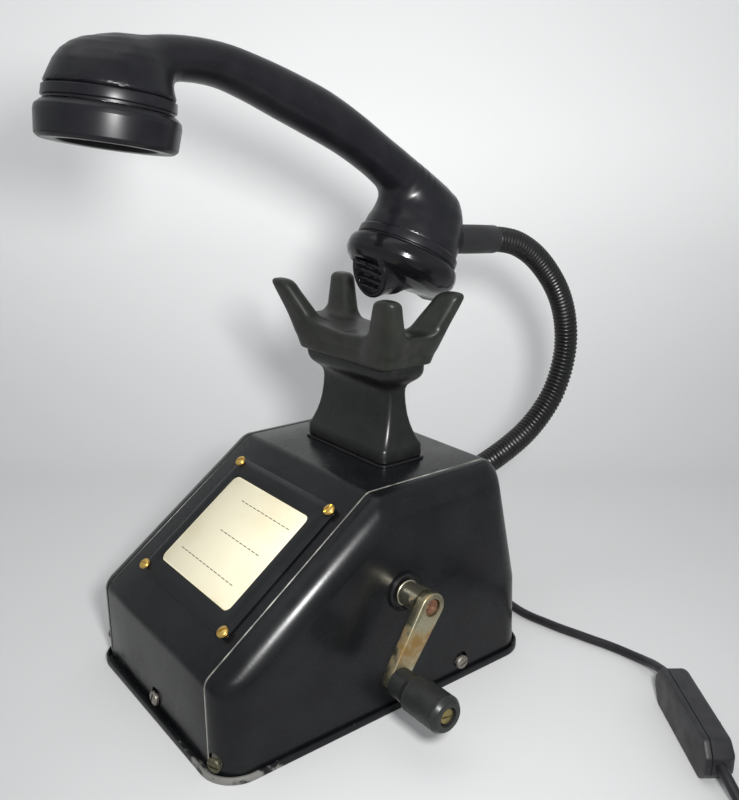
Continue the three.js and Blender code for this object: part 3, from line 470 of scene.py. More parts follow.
class Nodes:
    """Small helper that wires up one material."""

    def __init__(self, name):
        self.material = bpy.data.materials.new(name)
        self.material.use_nodes = True
        self.tree = self.material.node_tree
        self.shader = self.tree.nodes["Principled BSDF"]
        self.place = self.add("ShaderNodeTexCoord").outputs["Object"]

    def add(self, kind, **settings):
        node = self.tree.nodes.new(kind)
        for key, value in settings.items():
            setattr(node, key, value)
        return node

    def link(self, source, target):
        self.tree.links.new(source, target)

    def feed(self, socket, value):
        """Links a socket to the value or sets it; a colour is given its alpha."""
        if isinstance(value, bpy.types.NodeSocket):
            self.link(value, socket)
        else:
            socket.default_value = (*value, 1) if isinstance(value, tuple) else value

    def math(self, operation, a, b=0.0):
        node = self.add("ShaderNodeMath", operation=operation)
        self.feed(node.inputs[0], a)
        self.feed(node.inputs[1], b)
        return node.outputs[0]

    def noise(self, size_mm, detail=3.0, stretch=(1, 1, 1)):
        mapping = self.add("ShaderNodeMapping")
        mapping.inputs["Scale"].default_value = stretch
        self.link(self.place, mapping.inputs["Vector"])
        node = self.add("ShaderNodeTexNoise")
        self.link(mapping.outputs[0], node.inputs["Vector"])
        node.inputs["Scale"].default_value = 1 / (size_mm * MM)
        node.inputs["Detail"].default_value = detail
        node.inputs["Roughness"].default_value = 0.55
        return node.outputs["Fac"]

    def ramp(self, value, low, high, to_low=0.0, to_high=1.0):
        node = self.add("ShaderNodeMapRange", interpolation_type="SMOOTHSTEP")
        self.feed(node.inputs["Value"], value)
        for key, number in zip(("From Min", "From Max", "To Min", "To Max"), (low, high, to_low, to_high)):
            node.inputs[key].default_value = number
        return node.outputs["Result"]

    def clouds(self, size_mm, detail, low, high, to_low=0.0, to_high=1.0):
        """Noise with its values from low to high spread over the given range."""
        return self.ramp(self.noise(size_mm, detail), low, high, to_low, to_high)

    def mix(self, factor, a, b):
        node = self.add("ShaderNodeMix", data_type="RGBA")
        self.feed(node.inputs["Factor"], factor)
        self.feed(node.inputs[6], a)
        self.feed(node.inputs[7], b)
        return node.outputs[2]

    def coordinate(self, axis):
        split = self.add("ShaderNodeSeparateXYZ")
        self.link(self.place, split.inputs[0])
        return split.outputs[axis]

    def bump(self, height, strength, distance_mm, normal=None):
        node = self.add("ShaderNodeBump")
        node.inputs["Strength"].default_value = strength
        node.inputs["Distance"].default_value = distance_mm * MM
        self.link(height, node.inputs["Height"])
        if normal is not None:
            self.link(normal, node.inputs["Normal"])
        return node.outputs[0]

    def set(self, **sockets):
        """Feeds the shader's sockets and gives the finished material."""
        for key, value in sockets.items():
            self.feed(self.shader.inputs[SOCKETS[key]], value)
        return self.material


def band(n, value, centre_mm, half_mm, soft_mm):
    """1 within half_mm of centre_mm, falling to 0 over soft_mm."""
    away = n.math("ABSOLUTE", n.math("SUBTRACT", value, centre_mm * MM))
    return n.ramp(away, half_mm * MM, (half_mm + soft_mm) * MM, 1.0, 0.0)


def tinted(tone, factor):
    return tuple(c * factor for c in tone)


def scratches(n):
    """Sparse hair-fine marks in two directions."""
    fine = n.noise(0.5, 2, (1, 0.02, 1))
    other = n.noise(0.6, 2, (0.03, 1, 0.6))
    lines = n.math("MAXIMUM", n.ramp(fine, 0.7, 0.78), n.ramp(other, 0.71, 0.79))
    return n.math("MULTIPLY", lines, n.clouds(28, 3, 0.5, 0.7))


def seam_wear_and_highlight(n, color, amount):
    """The cut edges along the seam turned pale: a faint unbroken line of painted highlight, with patches
    worn to bare steel on it, most of all near the floor.
    """
    edge = band(n, n.math("ABSOLUTE", n.coordinate("X")), HOUSING["seam"] - GAP, 0.22, 0.15)
    low = n.ramp(n.coordinate("Z"), 0.02, 0.05, 0.6, 0.0)
    # The patch mask never drops below 0.25, so a faint pale line runs along the whole seam: painted
    # highlight. The brighter patches on it are wear.
    patchy = n.ramp(n.math("ADD", n.noise(9, 4), low), 0.35, 0.75, 0.25, 1.0)
    wear_and_highlight = n.math("MULTIPLY", n.math("MULTIPLY", edge, patchy), amount)
    return n.mix(wear_and_highlight, color, (0.36, 0.36, 0.32))


def rim_bareness(n):
    """How bare the base plate's rim is: most at its front corner on the crank's side."""
    corner = n.math("SUBTRACT", n.coordinate("X"), n.coordinate("Y"))
    front = n.ramp(corner, 0.11, 0.17, 0.0, 0.34)
    top = n.ramp(n.coordinate("Z"), 0.0035, 0.005, 0.0, 0.12)
    amount = n.math("ADD", n.math("ADD", front, top), n.noise(6, 5))
    return n.ramp(amount, 0.68, 0.82)


def enamel(name, seam_wear_and_highlight_amount=0.0, rim_wear=False, rough=0.26):
    """Black stoving enamel with orange peel, fine marks, edges worn to metal and a painted highlight along
    the seam.
    """
    n = Nodes(name)
    marks = scratches(n)
    color = n.mix(n.clouds(35, 4, 0.35, 0.7), (0.0034, 0.0036, 0.0043), (0.0066, 0.0071, 0.0078))
    color = n.mix(n.math("MULTIPLY", marks, 0.35), color, (0.16, 0.16, 0.15))
    polish = n.clouds(18, 5, 0.3, 0.75, rough, rough + 0.08)
    roughness = n.math("ADD", polish, n.math("MULTIPLY", marks, 0.2))
    metal = 0.0
    if seam_wear_and_highlight_amount:
        color = seam_wear_and_highlight(n, color, seam_wear_and_highlight_amount)
    if rim_wear:
        bare = rim_bareness(n)
        color = n.mix(bare, color, (0.22, 0.215, 0.2))
        metal = n.math("MULTIPLY", bare, 0.5)
    peel = n.bump(n.noise(1.6, 2), 0.12, 0.15)
    normal = n.bump(marks, 0.15, 0.05, peel)
    return n.set(color=color, rough=roughness, metal=metal, normal=normal, specular=0.22)


def bakelite(name, dark, light, rough, spread, peel=0.06):
    """Moulded phenolic: faint mottle, hand polish that varies, a few specks."""
    n = Nodes(name)
    color = n.mix(n.clouds(9, 6, 0.3, 0.75), dark, light)
    specks = n.clouds(0.9, 1, 0.74, 0.8)
    color = n.mix(n.math("MULTIPLY", specks, 0.25), color, (0.09, 0.085, 0.08))
    roughness = n.clouds(22, 5, 0.3, 0.72, rough, rough + spread)
    normal = n.bump(n.noise(2.4, 3), peel, 0.12)
    return n.set(color=color, rough=roughness, normal=normal, specular=0.25)


def worn_metal(name, clean, stain, rough, stain_size, cover, grain=(1, 1, 1)):
    """Plated or solid metal with fine grain and stains."""
    n = Nodes(name)
    spots = n.clouds(stain_size, 6, cover, cover + 0.14)
    color = n.mix(spots, clean, stain)
    fine = n.noise(0.5, 3, grain)
    roughness = n.math("ADD", n.ramp(fine, 0.3, 0.7, rough, rough + 0.12), n.math("MULTIPLY", spots, 0.25))
    metal = n.ramp(spots, 0.0, 1.0, 1.0, 0.55)
    return n.set(color=color, rough=roughness, metal=metal, normal=n.bump(fine, 0.1, 0.05))


def stained_nickel(name):
    """Nickel lever with a brown stain worn in around its middle."""
    n = Nodes(name)
    middle = band(n, n.coordinate("Z"), 47.0, 3.0, 9.0)
    spots = n.ramp(n.math("ADD", n.noise(9, 3), n.math("MULTIPLY", middle, 0.22)), 0.48, 0.84)
    color = n.mix(spots, (0.4, 0.375, 0.255), (0.2, 0.12, 0.035))
    fine = n.noise(0.5, 3, (1, 0.3, 0.15))
    roughness = n.math("ADD", n.ramp(fine, 0.3, 0.7, 0.26, 0.36), n.math("MULTIPLY", spots, 0.2))
    metal = n.ramp(spots, 0.0, 1.0, 1.0, 0.5)
    return n.set(color=color, rough=roughness, metal=metal, normal=n.bump(fine, 0.1, 0.05))


def rusty(name):
    n = Nodes(name)
    cloud = n.noise(1.1, 5)
    color = n.mix(n.ramp(cloud, 0.35, 0.65), (0.05, 0.022, 0.012), (0.17, 0.075, 0.035))
    normal = n.bump(cloud, 0.8, 0.4)
    return n.set(color=color, rough=n.ramp(cloud, 0.3, 0.7, 0.6, 0.9), metal=0.2, normal=normal)


def sheathing(name, tone, rough, size_mm=0.7, strength=0.12):
    """Rubber, cable sheath or fine-textured plastic."""
    n = Nodes(name)
    color = n.mix(n.clouds(12, 4, 0.3, 0.7), tinted(tone, 0.75), tinted(tone, 1.35))
    normal = n.bump(n.noise(size_mm, 3), strength, 0.08)
    roughness = n.clouds(8, 4, 0.3, 0.7, rough, rough + 0.13)
    return n.set(color=color, rough=roughness, normal=normal, specular=0.35)


def card(name):
    """Cream card with paper fibre and a little yellowing at random."""
    n = Nodes(name)
    color = n.mix(n.clouds(30, 5, 0.4, 0.7), (0.67, 0.625, 0.465), (0.62, 0.565, 0.395))
    normal = n.bump(n.noise(0.6, 4, (1, 0.3, 1)), 0.2, 0.05)
    return n.set(color=color, rough=n.clouds(4, 3, 0.3, 0.7, 0.5, 0.62), normal=normal)


def frosted(name):
    n = Nodes(name)
    color = n.mix(n.clouds(14, 3, 0.35, 0.7), (0.86, 0.85, 0.8), (0.78, 0.77, 0.7))
    normal = n.bump(n.noise(0.7, 3), 0.25, 0.06)
    return n.set(color=color, rough=n.clouds(3, 3, 0.3, 0.7, 0.42, 0.55), normal=normal, specular=0.5)


def painted(name, tone, rough):
    n = Nodes(name)
    color = n.mix(n.clouds(11, 5, 0.35, 0.7), tone, tinted(tone, 0.7))
    normal = n.bump(n.noise(1.2, 3), 0.1, 0.1)
    return n.set(color=color, rough=n.clouds(6, 3, 0.3, 0.7, rough, rough + 0.15), normal=normal)


# Metals: clean colour, stain colour, roughness, size of the stains in mm, noise level they start at.
MAT = {
    "housing": enamel("housing_enamel", seam_wear_and_highlight_amount=0.7, rough=0.23),
    "rim": enamel("rim_enamel", rim_wear=True, rough=0.36),
    "plaque": enamel("plaque_enamel", rough=0.3),
    "gloss": bakelite("gloss_bakelite", (0.0045, 0.0045, 0.006), (0.0072, 0.0072, 0.009), 0.27, 0.1),
    "shiny": bakelite("polished_bakelite", (0.004, 0.004, 0.005), (0.0065, 0.0065, 0.0076), 0.14, 0.07),
    "satin": bakelite("satin_bakelite", (0.0045, 0.0048, 0.0046), (0.0078, 0.0082, 0.0078), 0.25, 0.1),
    "dull": bakelite("dull_bakelite", (0.0088, 0.0098, 0.0082), (0.0148, 0.0158, 0.0132), 0.34, 0.12, 0.1),
    "dull_grip": bakelite("grip_bakelite", (0.011, 0.012, 0.0115), (0.019, 0.02, 0.019), 0.3, 0.15),
    "nickel": worn_metal("nickel", (0.5, 0.47, 0.36), (0.3, 0.18, 0.08), 0.28, 9, 0.55, (1, 1, 0.15)),
    "brass": worn_metal("brass", (0.62, 0.42, 0.12), (0.16, 0.12, 0.05), 0.3, 1.6, 0.62),
    "old_brass": worn_metal("old_brass", (0.3, 0.25, 0.1), (0.1, 0.085, 0.045), 0.4, 1.6, 0.5),
    "steel": worn_metal("steel", (0.27, 0.255, 0.23), (0.11, 0.085, 0.06), 0.4, 1.8, 0.5),
    "dirty": worn_metal("dirty_steel", (0.13, 0.125, 0.08), (0.05, 0.045, 0.03), 0.5, 1.5, 0.45),
    "copper": worn_metal("copper", (0.55, 0.25, 0.11), (0.2, 0.08, 0.04), 0.4, 5, 0.6, (1, 1, 8)),
    "aluminium": worn_metal("aluminium", (0.7, 0.7, 0.69), (0.5, 0.5, 0.5), 0.35, 6, 0.65, (1, 1, 6)),
    "lever": stained_nickel("lever_nickel"),
    "rust": rusty("rust"),
    "rubber": sheathing("rubber", (0.005, 0.005, 0.0055), 0.26),
    "sleeve": sheathing("sleeve_rubber", (0.013, 0.013, 0.014), 0.4, 0.5, 0.1),
    "cord": sheathing("cord_sheath", (0.009, 0.009, 0.0105), 0.36, 1.4, 0.05),
    "plastic": sheathing("switch_plastic", (0.016, 0.016, 0.018), 0.42, 0.35, 0.25),
    "paper": card("label_card"),
    "ink": painted("ink", (0.02, 0.018, 0.016), 0.6),
    "lens": frosted("frosted_lens"),
    "red": painted("magnet_paint", (0.3, 0.05, 0.035), 0.45),
    "pale": painted("pale_plastic", (0.7, 0.69, 0.64), 0.5),
}


# ---- housing
def housing_outline(inset):
    """Side outline of the housing pulled in by inset, as (y, z) points; bends grow rounder further in."""
    h = HOUSING
    bottom = h["bottom"]
    corners = [(h["front_y"], bottom), (h["front_y"], h["front_top"]), (h["slope_top_y"], h["top"]),
               (h["back_top_y"], h["top"]), (h["back_bend_y"], h["back_bend_z"]), (h["back_y"], bottom)]
    lines = []
    for a, b in zip(corners, corners[1:]):
        direction = (Vector(b) - Vector(a)).normalized()
        lines.append((Vector(a) + Vector((direction.y, -direction.x)) * inset, direction))
    radius = h["bend"] + 1.6 * inset
    bent = [(lines[0][0].x, bottom)]
    for (p, d), (q, e) in zip(lines, lines[1:]):
        across = d.x * e.y - d.y * e.x
        away = q - p
        meet = p + d * ((away.x * e.y - away.y * e.x) / across)
        bent.append((meet.x, meet.y, radius))
    foot, down = lines[-1]
    bent.append((foot.x + down.x * (bottom - foot.y) / down.y, bottom))
    return filleted(bent, 8)


def back_wall_y(z):
    """Where the outside of the back wall is at height z."""
    h = HOUSING
    heights = (h["bottom"], h["back_bend_z"], h["top"])
    return float(np.interp(z, heights, (h["back_y"], h["back_bend_y"], h["back_top_y"])))


SLOPE_DOWN = Vector((0, HOUSING["front_y"] - HOUSING["slope_top_y"],
                     HOUSING["front_top"] - HOUSING["top"])).normalized()
SLOPE_OUT = Vector((0, SLOPE_DOWN.z, -SLOPE_DOWN.y))
SLOPE_TURN = Matrix((X_AXIS, SLOPE_DOWN, -SLOPE_OUT)).transposed()


def slope_point(x, u, n):
    """Point on the slope: x across, u down from its top edge, n above its surface."""
    return Vector((x, HOUSING["slope_top_y"], HOUSING["top"])) + SLOPE_DOWN * u + SLOPE_OUT * n


SCREW_Z = 9.1
SIDE_SCREW_Y = 47
CORNER_TURN = math.radians(20)
CORNER_ROLL = HOUSING["half_width"] - HOUSING["seam"]


def housing_screws():
    """Place and outward direction of each housing screw."""
    x = HOUSING["seam"] + CORNER_ROLL * math.sin(CORNER_TURN)
    y = HOUSING["front_y"] + CORNER_ROLL * (1 - math.cos(CORNER_TURN))
    outward = Vector((math.sin(CORNER_TURN), -math.cos(CORNER_TURN), 0))
    side = HOUSING["half_width"]
    return {
        "front": (Vector((0, HOUSING["front_y"], SCREW_Z)), Vector((0, -1, 0))),
        "front_right": (Vector((x, y, SCREW_Z - 1.2)), outward),
        "front_left": (Vector((-side, y + 6.5, SCREW_Z)), -X_AXIS),
        "right": (Vector((side, SIDE_SCREW_Y, SCREW_Z)), X_AXIS),
        "left": (Vector((-side, SIDE_SCREW_Y, SCREW_Z)), -X_AXIS),
        "back": (Vector((0, back_wall_y(SCREW_Z), SCREW_Z)), Vector((0, 1, 0))),
    }


def screw_windows(*places):
    """Round holes, a little above each screw, that show as a dark crescent over its head."""
    holes = []
    for place in places:
        at, out = housing_screws()[place]
        holes.append(cylinder(4.3, 10, at + Vector((0, 0, 1.4)) - out * 6, out, 40))
    return holes


def pressed_sheet(name, rows, capped=False):
    """Pressed steel from open rows of points; its last row is closed by a flat face if capped."""
    count = len(rows[0])
    points = [tuple(p) for row in rows for p in row]
    faces = []
    for k in range(len(rows) - 1):
        for i in range(count - 1):
            a = k * count + i
            faces.append((a, a + 1, a + count + 1, a + count))
    if capped:
        faces.append(tuple(range(len(points) - count, len(points))))
    return solidified(mesh_object(name, (points, faces), 60))


def solidified(obj):
    """Gives an open skin the sheet thickness, on the side of the housing's inside."""
    face = max(obj.data.polygons, key=lambda f: f.area)
    inside = Vector((0, 0, 40)) * MM
    outward = face.normal.dot(face.center - inside) > 0
    modifier = obj.modifiers.new("thickness", "SOLIDIFY")
    modifier.thickness = SHEET * MM
    modifier.offset = -1 if outward else 1
    modifier.use_even_offset = True
    return apply_modifiers(obj, 60)


# Roll of a sheet edge: how far in from the cut edge, and how far the surface is pulled down there.
EDGE_ROLL = ((0.0, 0.45), (0.1, 0.22), (0.28, 0.06), (0.6, 0.0))


def housing_rows(stations):
    """Rows of points down the housing, one for each (x, inset) station."""
    return [[(x, y, z) for y, z in housing_outline(inset)] for x, inset in stations]


def make_centre_shell():
    """Bent strip that forms front, slope, top and back; its cut edges roll in a little."""
    wide = HOUSING["seam"] - GAP / 2
    stations = [(-wide + d, pull) for d, pull in EDGE_ROLL]
    stations += [(x, 0.0) for x in (-30, 0, 30)]
    stations += [(wide - d, pull) for d, pull in reversed(EDGE_ROLL)]
    obj = pressed_sheet("housing_strip", housing_rows(stations))
    cut_by(obj, *screw_windows("front"))
    finish_piece(obj, "housing", "black_enamel", "housing", "centre_shell")


def make_cheek(side, name):
    """Side cover that rolls from the seam into a flat face; the right one has the crank's hole."""
    start = HOUSING["seam"] + GAP / 2
    roll = HOUSING["half_width"] - start
    stations = [(start + d, pull) for d, pull in EDGE_ROLL]
    for k in range(1, 13):
        angle = math.radians(90 * k / 12)
        stations.append((start + roll * math.sin(angle), roll * (1 - math.cos(angle))))
    rows = housing_rows([(side * x, inset) for x, inset in stations])
    obj = pressed_sheet(f"{name}_cover", rows, capped=True)
    holes = screw_windows(f"front_{name}", name)
    if side > 0:
        holes.append(cylinder(8.6, 10, (65, CRANK["y"], CRANK["z"]), X_AXIS))
    cut_by(obj, *holes)
    finish_piece(obj, "housing", "black_enamel", "housing", f"{name}_cheek")


def make_base_plate():
    """Tray under the housing, with a tab behind each screw."""
    b = BASE
    rim = b["rim_height"]
    profile = [(0.5, 0.0), (0.12, 0.14), (0.0, 0.5), (0.0, rim - 0.6), (0.25, rim - 0.15), (0.75, rim),
               (1.25, rim - 0.15), (1.5, rim - 0.6), (1.6, b["floor"])]
    rings = []
    for inset, z in profile:
        outline = rounded_rect(b["width"] / 2 - inset, b["depth"] / 2 - inset, b["corner"] - inset, 12)
        rings.append([(x, y, z) for x, y in outline])
    tabs = []
    for at, out in housing_screws().values():
        turn = Matrix.Rotation(math.atan2(out.y, out.x), 3, "Z")
        middle = at - out * (SHEET + GAP + 1.5)
        tabs.append(block((middle.x, middle.y, 7.4), (0.75, 4, 6), turn))
    tray = joined(loft(rings), *tabs)
    piece("base_tray", tray, "housing", "rim_enamel", "rim", "base_plate", sharp=40)


# ---- plaque
def slope_rect(middle, half_x, half_u, corner):
    """Rounded rectangle on the slope around its (x, u) middle."""
    return [(x + middle[0], u + middle[1]) for x, u in rounded_rect(half_x, half_u, corner, 8)]


def slope_loft(levels, looped=False):
    """Skin over (x, u) outlines, each at its height n above the slope."""
    return loft([[slope_point(x, u, n) for x, u in outline] for outline, n in levels], looped)


WINDOW_MIDDLE = (PLAQUE["window_middle"], (PLAQUE["window_top"] + PLAQUE["window_bottom"]) / 2)
WINDOW_HALF_U = (PLAQUE["window_bottom"] - PLAQUE["window_top"]) / 2


def make_plaque():
    """Frame round the card, with a broad bevel above a small undercut."""
    p = PLAQUE
    middle = (p["middle"], (p["from_top"] + p["to_bottom"]) / 2)
    half_u = (p["to_bottom"] - p["from_top"]) / 2
    top = GAP + p["thickness"]
    outer = [(1.2, GAP), (1.1, GAP + 0.35), (0.1, GAP + 0.5), (0.0, GAP + 0.75), (0.3, GAP + 1.0),
             (2.4, top - 0.35), (3.1, top - 0.07), (3.8, top)]
    inner = [(0.7, top), (0.2, top - 0.2), (0.0, top - 0.7), (0.0, GAP)]
    levels = [(slope_rect(middle, p["half_width"] - d, half_u - d, 3.5), n) for d, n in outer]
    for d, n in inner:
        window = slope_rect(WINDOW_MIDDLE, p["window_half"] + d, WINDOW_HALF_U + d, p["window_corner"] + d)
        levels.append((window, n))
    shape = slope_loft(levels, looped=True)
    piece("plaque_plate", shape, "housing", "black_enamel", "plaque", "plaque_frame", sharp=40)


CARD_TOP = 1.9
WRITING_LINES = ((35.8, -14.0, 34.0), (54.4, -10.5, 31.0), (73.0, -26.0, 31.0))  # distance down, start, end


def make_label():
    half_x, half_u = PLAQUE["window_half"] - GAP, WINDOW_HALF_U - GAP
    corner = PLAQUE["window_corner"] - GAP
    levels = [(slope_rect(WINDOW_MIDDLE, half_x - d, half_u - d, corner), n)
              for d, n in ((0, GAP), (0, CARD_TOP - 0.15), (0.15, CARD_TOP))]
    piece("writing_card", slope_loft(levels), "housing", "paper", "paper", "label_card", sharp=40)


def make_writing_lines():
    """Dashed lines printed on the card."""
    dash, pitch, weight = 2.9, 3.9, 0.2
    parts = []
    for down, x, end in WRITING_LINES:
        while x + dash < end:
            at = slope_point(x + dash / 2, down, CARD_TOP)
            parts.append(block(at, (dash / 2, weight, 0.03), SLOPE_TURN))
            x += pitch
    piece("writing_lines", joined(*parts), "housing", "paper", "ink")


# ---- screws
def slotted_screw(name, at, out, radius, height, slot_deg, shank, shank_length):
    """Domed screw head with a cut slot, on its shank."""
    profile = filleted([(0, -shank_length), (shank, -shank_length, 0.3), (shank, 0), (radius, 0, 0.15),
                        (radius, height * 0.35, 0.5)], 3)
    for k in range(1, 9):
        angle = math.radians(90 * k / 8)
        profile.append((radius * math.cos(angle), height * (0.4 + 0.6 * math.sin(angle))))
    obj = mesh_object(name, lathe(profile, at, out, 48), 40)
    turn = axis_frame(out) @ Matrix.Rotation(math.radians(slot_deg), 3, "Z")
    slot = block(at + out * (height * 1.05), (radius * 1.4, radius * 0.14, height * 0.42), turn)
    return cut_by(obj, slot)


PLAQUE_SLOTS = (35, 80, 15, 60)
HOUSING_SLOTS = {"front": 70, "front_right": 20, "front_left": 40, "right": 110, "left": 10, "back": 60}


def make_screws():
    p = PLAQUE
    rows = (p["screw_top"], p["screw_bottom"])
    places = [(p["screw_middle"] + side * p["screw_x"], u) for u in rows for side in (-1, 1)]
    for k, ((x, u), slot) in enumerate(zip(places, PLAQUE_SLOTS), 1):
        at = slope_point(x, u, 2 * GAP + p["thickness"])
        obj = slotted_screw(f"brass_screw_{k}", at, SLOPE_OUT, 3.0, 1.9, slot, 1.2, 6)
        finish_piece(obj, "housing", "brass", "brass", f"plaque_screw_{k}")
    for place, (at, out) in housing_screws().items():
        head = at + out * (0.6 if place == "back" else GAP)
        obj = slotted_screw(f"dome_screw_{place}", head, out, 3.8, 2.3, HOUSING_SLOTS[place], 1.8, 6.5)
        metal = "dirty" if place == "front_right" else "steel"
        finish_piece(obj, "housing", "steel", metal, f"housing_screw_{place}")


# ---- neck and fork
# Levels: height, half width, half depth, corner radius.
PAD_LEVELS = ((114.9, 36.5, 15.5, 5.5), (115.7, 36.5, 15.5, 5.5), (115.9, 36.3, 15.3, 5.3))
NECK_LEVELS = (
    (116.2, 34.6, 13.6, 4), (116.6, 35, 14, 4), (122.4, 35, 14, 4), (123.4, 34.6, 13.5, 4),
    (124.2, 34.2, 12.9, 4), (126.5, 33.5, 11.7, 4), (130, 32.5, 10, 3.6), (134, 31.6, 8.6, 3.4),
    (139, 30.9, 7.3, 3.2), (145, 30.4, 6.4, 3), (150, 30.2, 6.1, 3), (152.8, 30.3, 6.3, 3),
    (154.8, 31.0, 7.1, 3.4), (156.3, 32.6, 8.5, 4.2), (157.6, 34.4, 10.1, 5.2), (158.8, 36.2, 11.4, 6),
    (160.1, 37.7, 12.0, 6.2), (161.8, 39.0, 12.2, 6.2), (163.8, 39.7, 12.2, 6.2), (166.9, 39.9, 12.2, 6.2),
    (168.1, 39.6, 11.9, 6), (168.3, 39.0, 11.2, 6),
)


def level_loft(levels):
    """Skin over rounded rectangles centred under the cradle."""
    return loft([[(x, CRADLE_Y + y, z) for x, y in rounded_rect(hx, hy, r, 8)] for z, hx, hy, r in levels])


def make_neck():
    """Gasket, and the moulded column with a hole for the fork's stem."""
    pad = level_loft(PAD_LEVELS)
    piece("neck_pad", pad, "housing", "black_rubber", "rubber", "neck_gasket", sharp=40)
    obj = mesh_object("neck", level_loft(NECK_LEVELS), 50)
    cut_by(obj, block((0, CRADLE_Y, 142), (12.5, 3.1, 40)))
    finish_piece(obj, "housing", "gloss_bakelite", "satin", "neck_column")


# Prong centre lines and half sizes: z, x, y from the middle, half width, half depth.
PRONG_LEVELS = np.array((
    (168, 29.2, 9.6, 9.4, 6.6), (174, 31.9, 10.9, 10.8, 6.7), (183, 36.2, 13.0, 11.0, 6.1),
    (190, 39.8, 15.6, 9.9, 5.6), (197, 43.4, 18.4, 8.7, 5.1), (205, 47.4, 21.3, 7.2, 4.8),
))
PRONG_BOTTOM, PRONG_TOP = 168.6, 203.9
PRONG_POWER = 2.8  # between an ellipse (2) and a rectangle
BOAT = [(-50, 180.5), (-42, 175.0), (-34, 172.9), (0, 172.5), (34, 172.9), (42, 175.0), (50, 180.5),
        (50, 184.3), (40, 184.1), (27.5, 182.9), (0, 181.3), (-27.5, 182.9), (-40, 184.1), (-50, 184.3)]
END_LEAN = 0.5  # the ends lean outwards this much per millimetre of height
LIP = {"outer": (41.0, 16.4, 7.0), "inner": (39.4, 12.9, 4.5), "bottom": 166.3, "end_bottom": 168.6,
       "step": 0.5}
HOLLOW_TOP = 172.5  # the neck's head comes up into the fork to here at most


def rounded_box_distance(a, b, half_a, half_b, corner):
    """Distance to a rounded rectangle, for a and b at or above zero."""
    qa, qb = a - half_a + corner, b - half_b + corner
    outside = np.hypot(np.maximum(qa, 0), np.maximum(qb, 0))
    return outside + np.minimum(np.maximum(qa, qb), 0) - corner


def prong_distance(x, y, z):
    cx, cy, hx, hy = (np.interp(z, PRONG_LEVELS[:, 0], PRONG_LEVELS[:, k]) for k in range(1, 5))
    powers = np.abs((x - cx) / hx) ** PRONG_POWER + np.abs((y - cy) / hy) ** PRONG_POWER
    prong = soft_max((powers ** (1 / PRONG_POWER) - 1) * hy, z - PRONG_TOP, 3.6)
    return soft_max(prong, PRONG_BOTTOM - z, 3.0)


def lip_distance(x, y, z, side):
    """Ring under the body, stepped in from its side; the lower edge rises towards the ends."""
    share = np.clip((x - 30) / 12.4, 0, 1)
    rise = LIP["end_bottom"] - LIP["bottom"]
    bottom = LIP["end_bottom"] - rise * np.sqrt(1 - share * share)
    lip = soft_max(side + LIP["step"], bottom - z, 1.4)
    return np.maximum(np.maximum(lip, -rounded_box_distance(x, y, *LIP["inner"])), z - 178)


def fork_field(p):
    x, y, z = np.abs(p[..., 0]), np.abs(p[..., 1] - CRADLE_Y), p[..., 2]
    side = rounded_box_distance(x - END_LEAN * np.maximum(z - 172, 0), y, *LIP["outer"])
    body = soft_max(polygon_distance(p[..., 0], z, BOAT) + 0.8, side, 2.5)
    body = soft_min(body, lip_distance(x, y, z, side), 0.8)
    whole = soft_min(body, prong_distance(x, y, z), 4.0)
    hollow = np.maximum(rounded_box_distance(x, y, *LIP["inner"]), z - HOLLOW_TOP)
    return np.maximum(whole, -hollow)


def make_fork():
    shape = surface_of(fork_field, (-57, 7, 163), (57, 63, 209), 0.8)
    piece("cradle", shape, "fork", "dull_bakelite", "dull", "cradle_fork", sharp=50)


SPRING = {"low": 75.6, "high": 91.1, "radius": 4.0, "wire": 0.55, "turns": 5, "travel": 4.0}


def make_spring():
    """Return spring under the fork's stem."""
    spring = SPRING
    length = spring["high"] - spring["low"]
    count = spring["turns"] * 24
    rings = []
    for i in range(count + 1):
        angle = 2 * math.pi * i / 24
        out = Vector((math.cos(angle), math.sin(angle), 0))
        centre = Vector((0, CRADLE_Y, spring["low"] + length * i / count)) + out * spring["radius"]
        rings.append(hoop(centre, out, Z_AXIS, spring["wire"], 10))
    obj = piece("fork_spring", loft(rings), "housing", "steel", "steel", "hook_spring", sharp=60)
    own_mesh(obj)


# ---- crank
HUB_LENGTH = 66


def make_crank():
    """Shaft with its hub, bush in the cheek, lever, grub screw and grip."""
    c = CRANK
    at = Vector((c["arm_in"], c["y"], c["z"]))
    hub = [(0, 0), (4, 0), (4, 52.9), (7, 52.9, 0.5), (7, HUB_LENGTH, 0.3), (0, HUB_LENGTH)]
    hub = turned(hub, at - X_AXIS * (GAP + HUB_LENGTH), X_AXIS)
    piece("crank_hub", hub, "crank", "nickel", "nickel", "crank_shaft")
    bush = [(4.4, 0), (8.2, 0), (8.2, 10.3), (10, 10.3), (10, 11.7, 0.6), (8.4, 11.7, 0.3), (8, 10.9, 0.3),
            (4.4, 10.9)]
    bush = turned(bush, (60, c["y"], c["z"]), X_AXIS, closed=True)
    piece("crank_collar", bush, "housing", "dull_bakelite", "satin", "crank_bush")
    make_arm()
    screw = [(0, 0), (4.0, 0, 0.3), (4.0, 3.1, 0.3), (2.4, 3.1, 0.3), (1.6, 2.2), (0, 2.0)]
    screw = turned(screw, at + X_AXIS * 1.3, X_AXIS, 40, steps=3)
    piece("set_screw", screw, "crank", "steel", "rust", "crank_set_screw")
    make_grip()
    make_grip_screw()


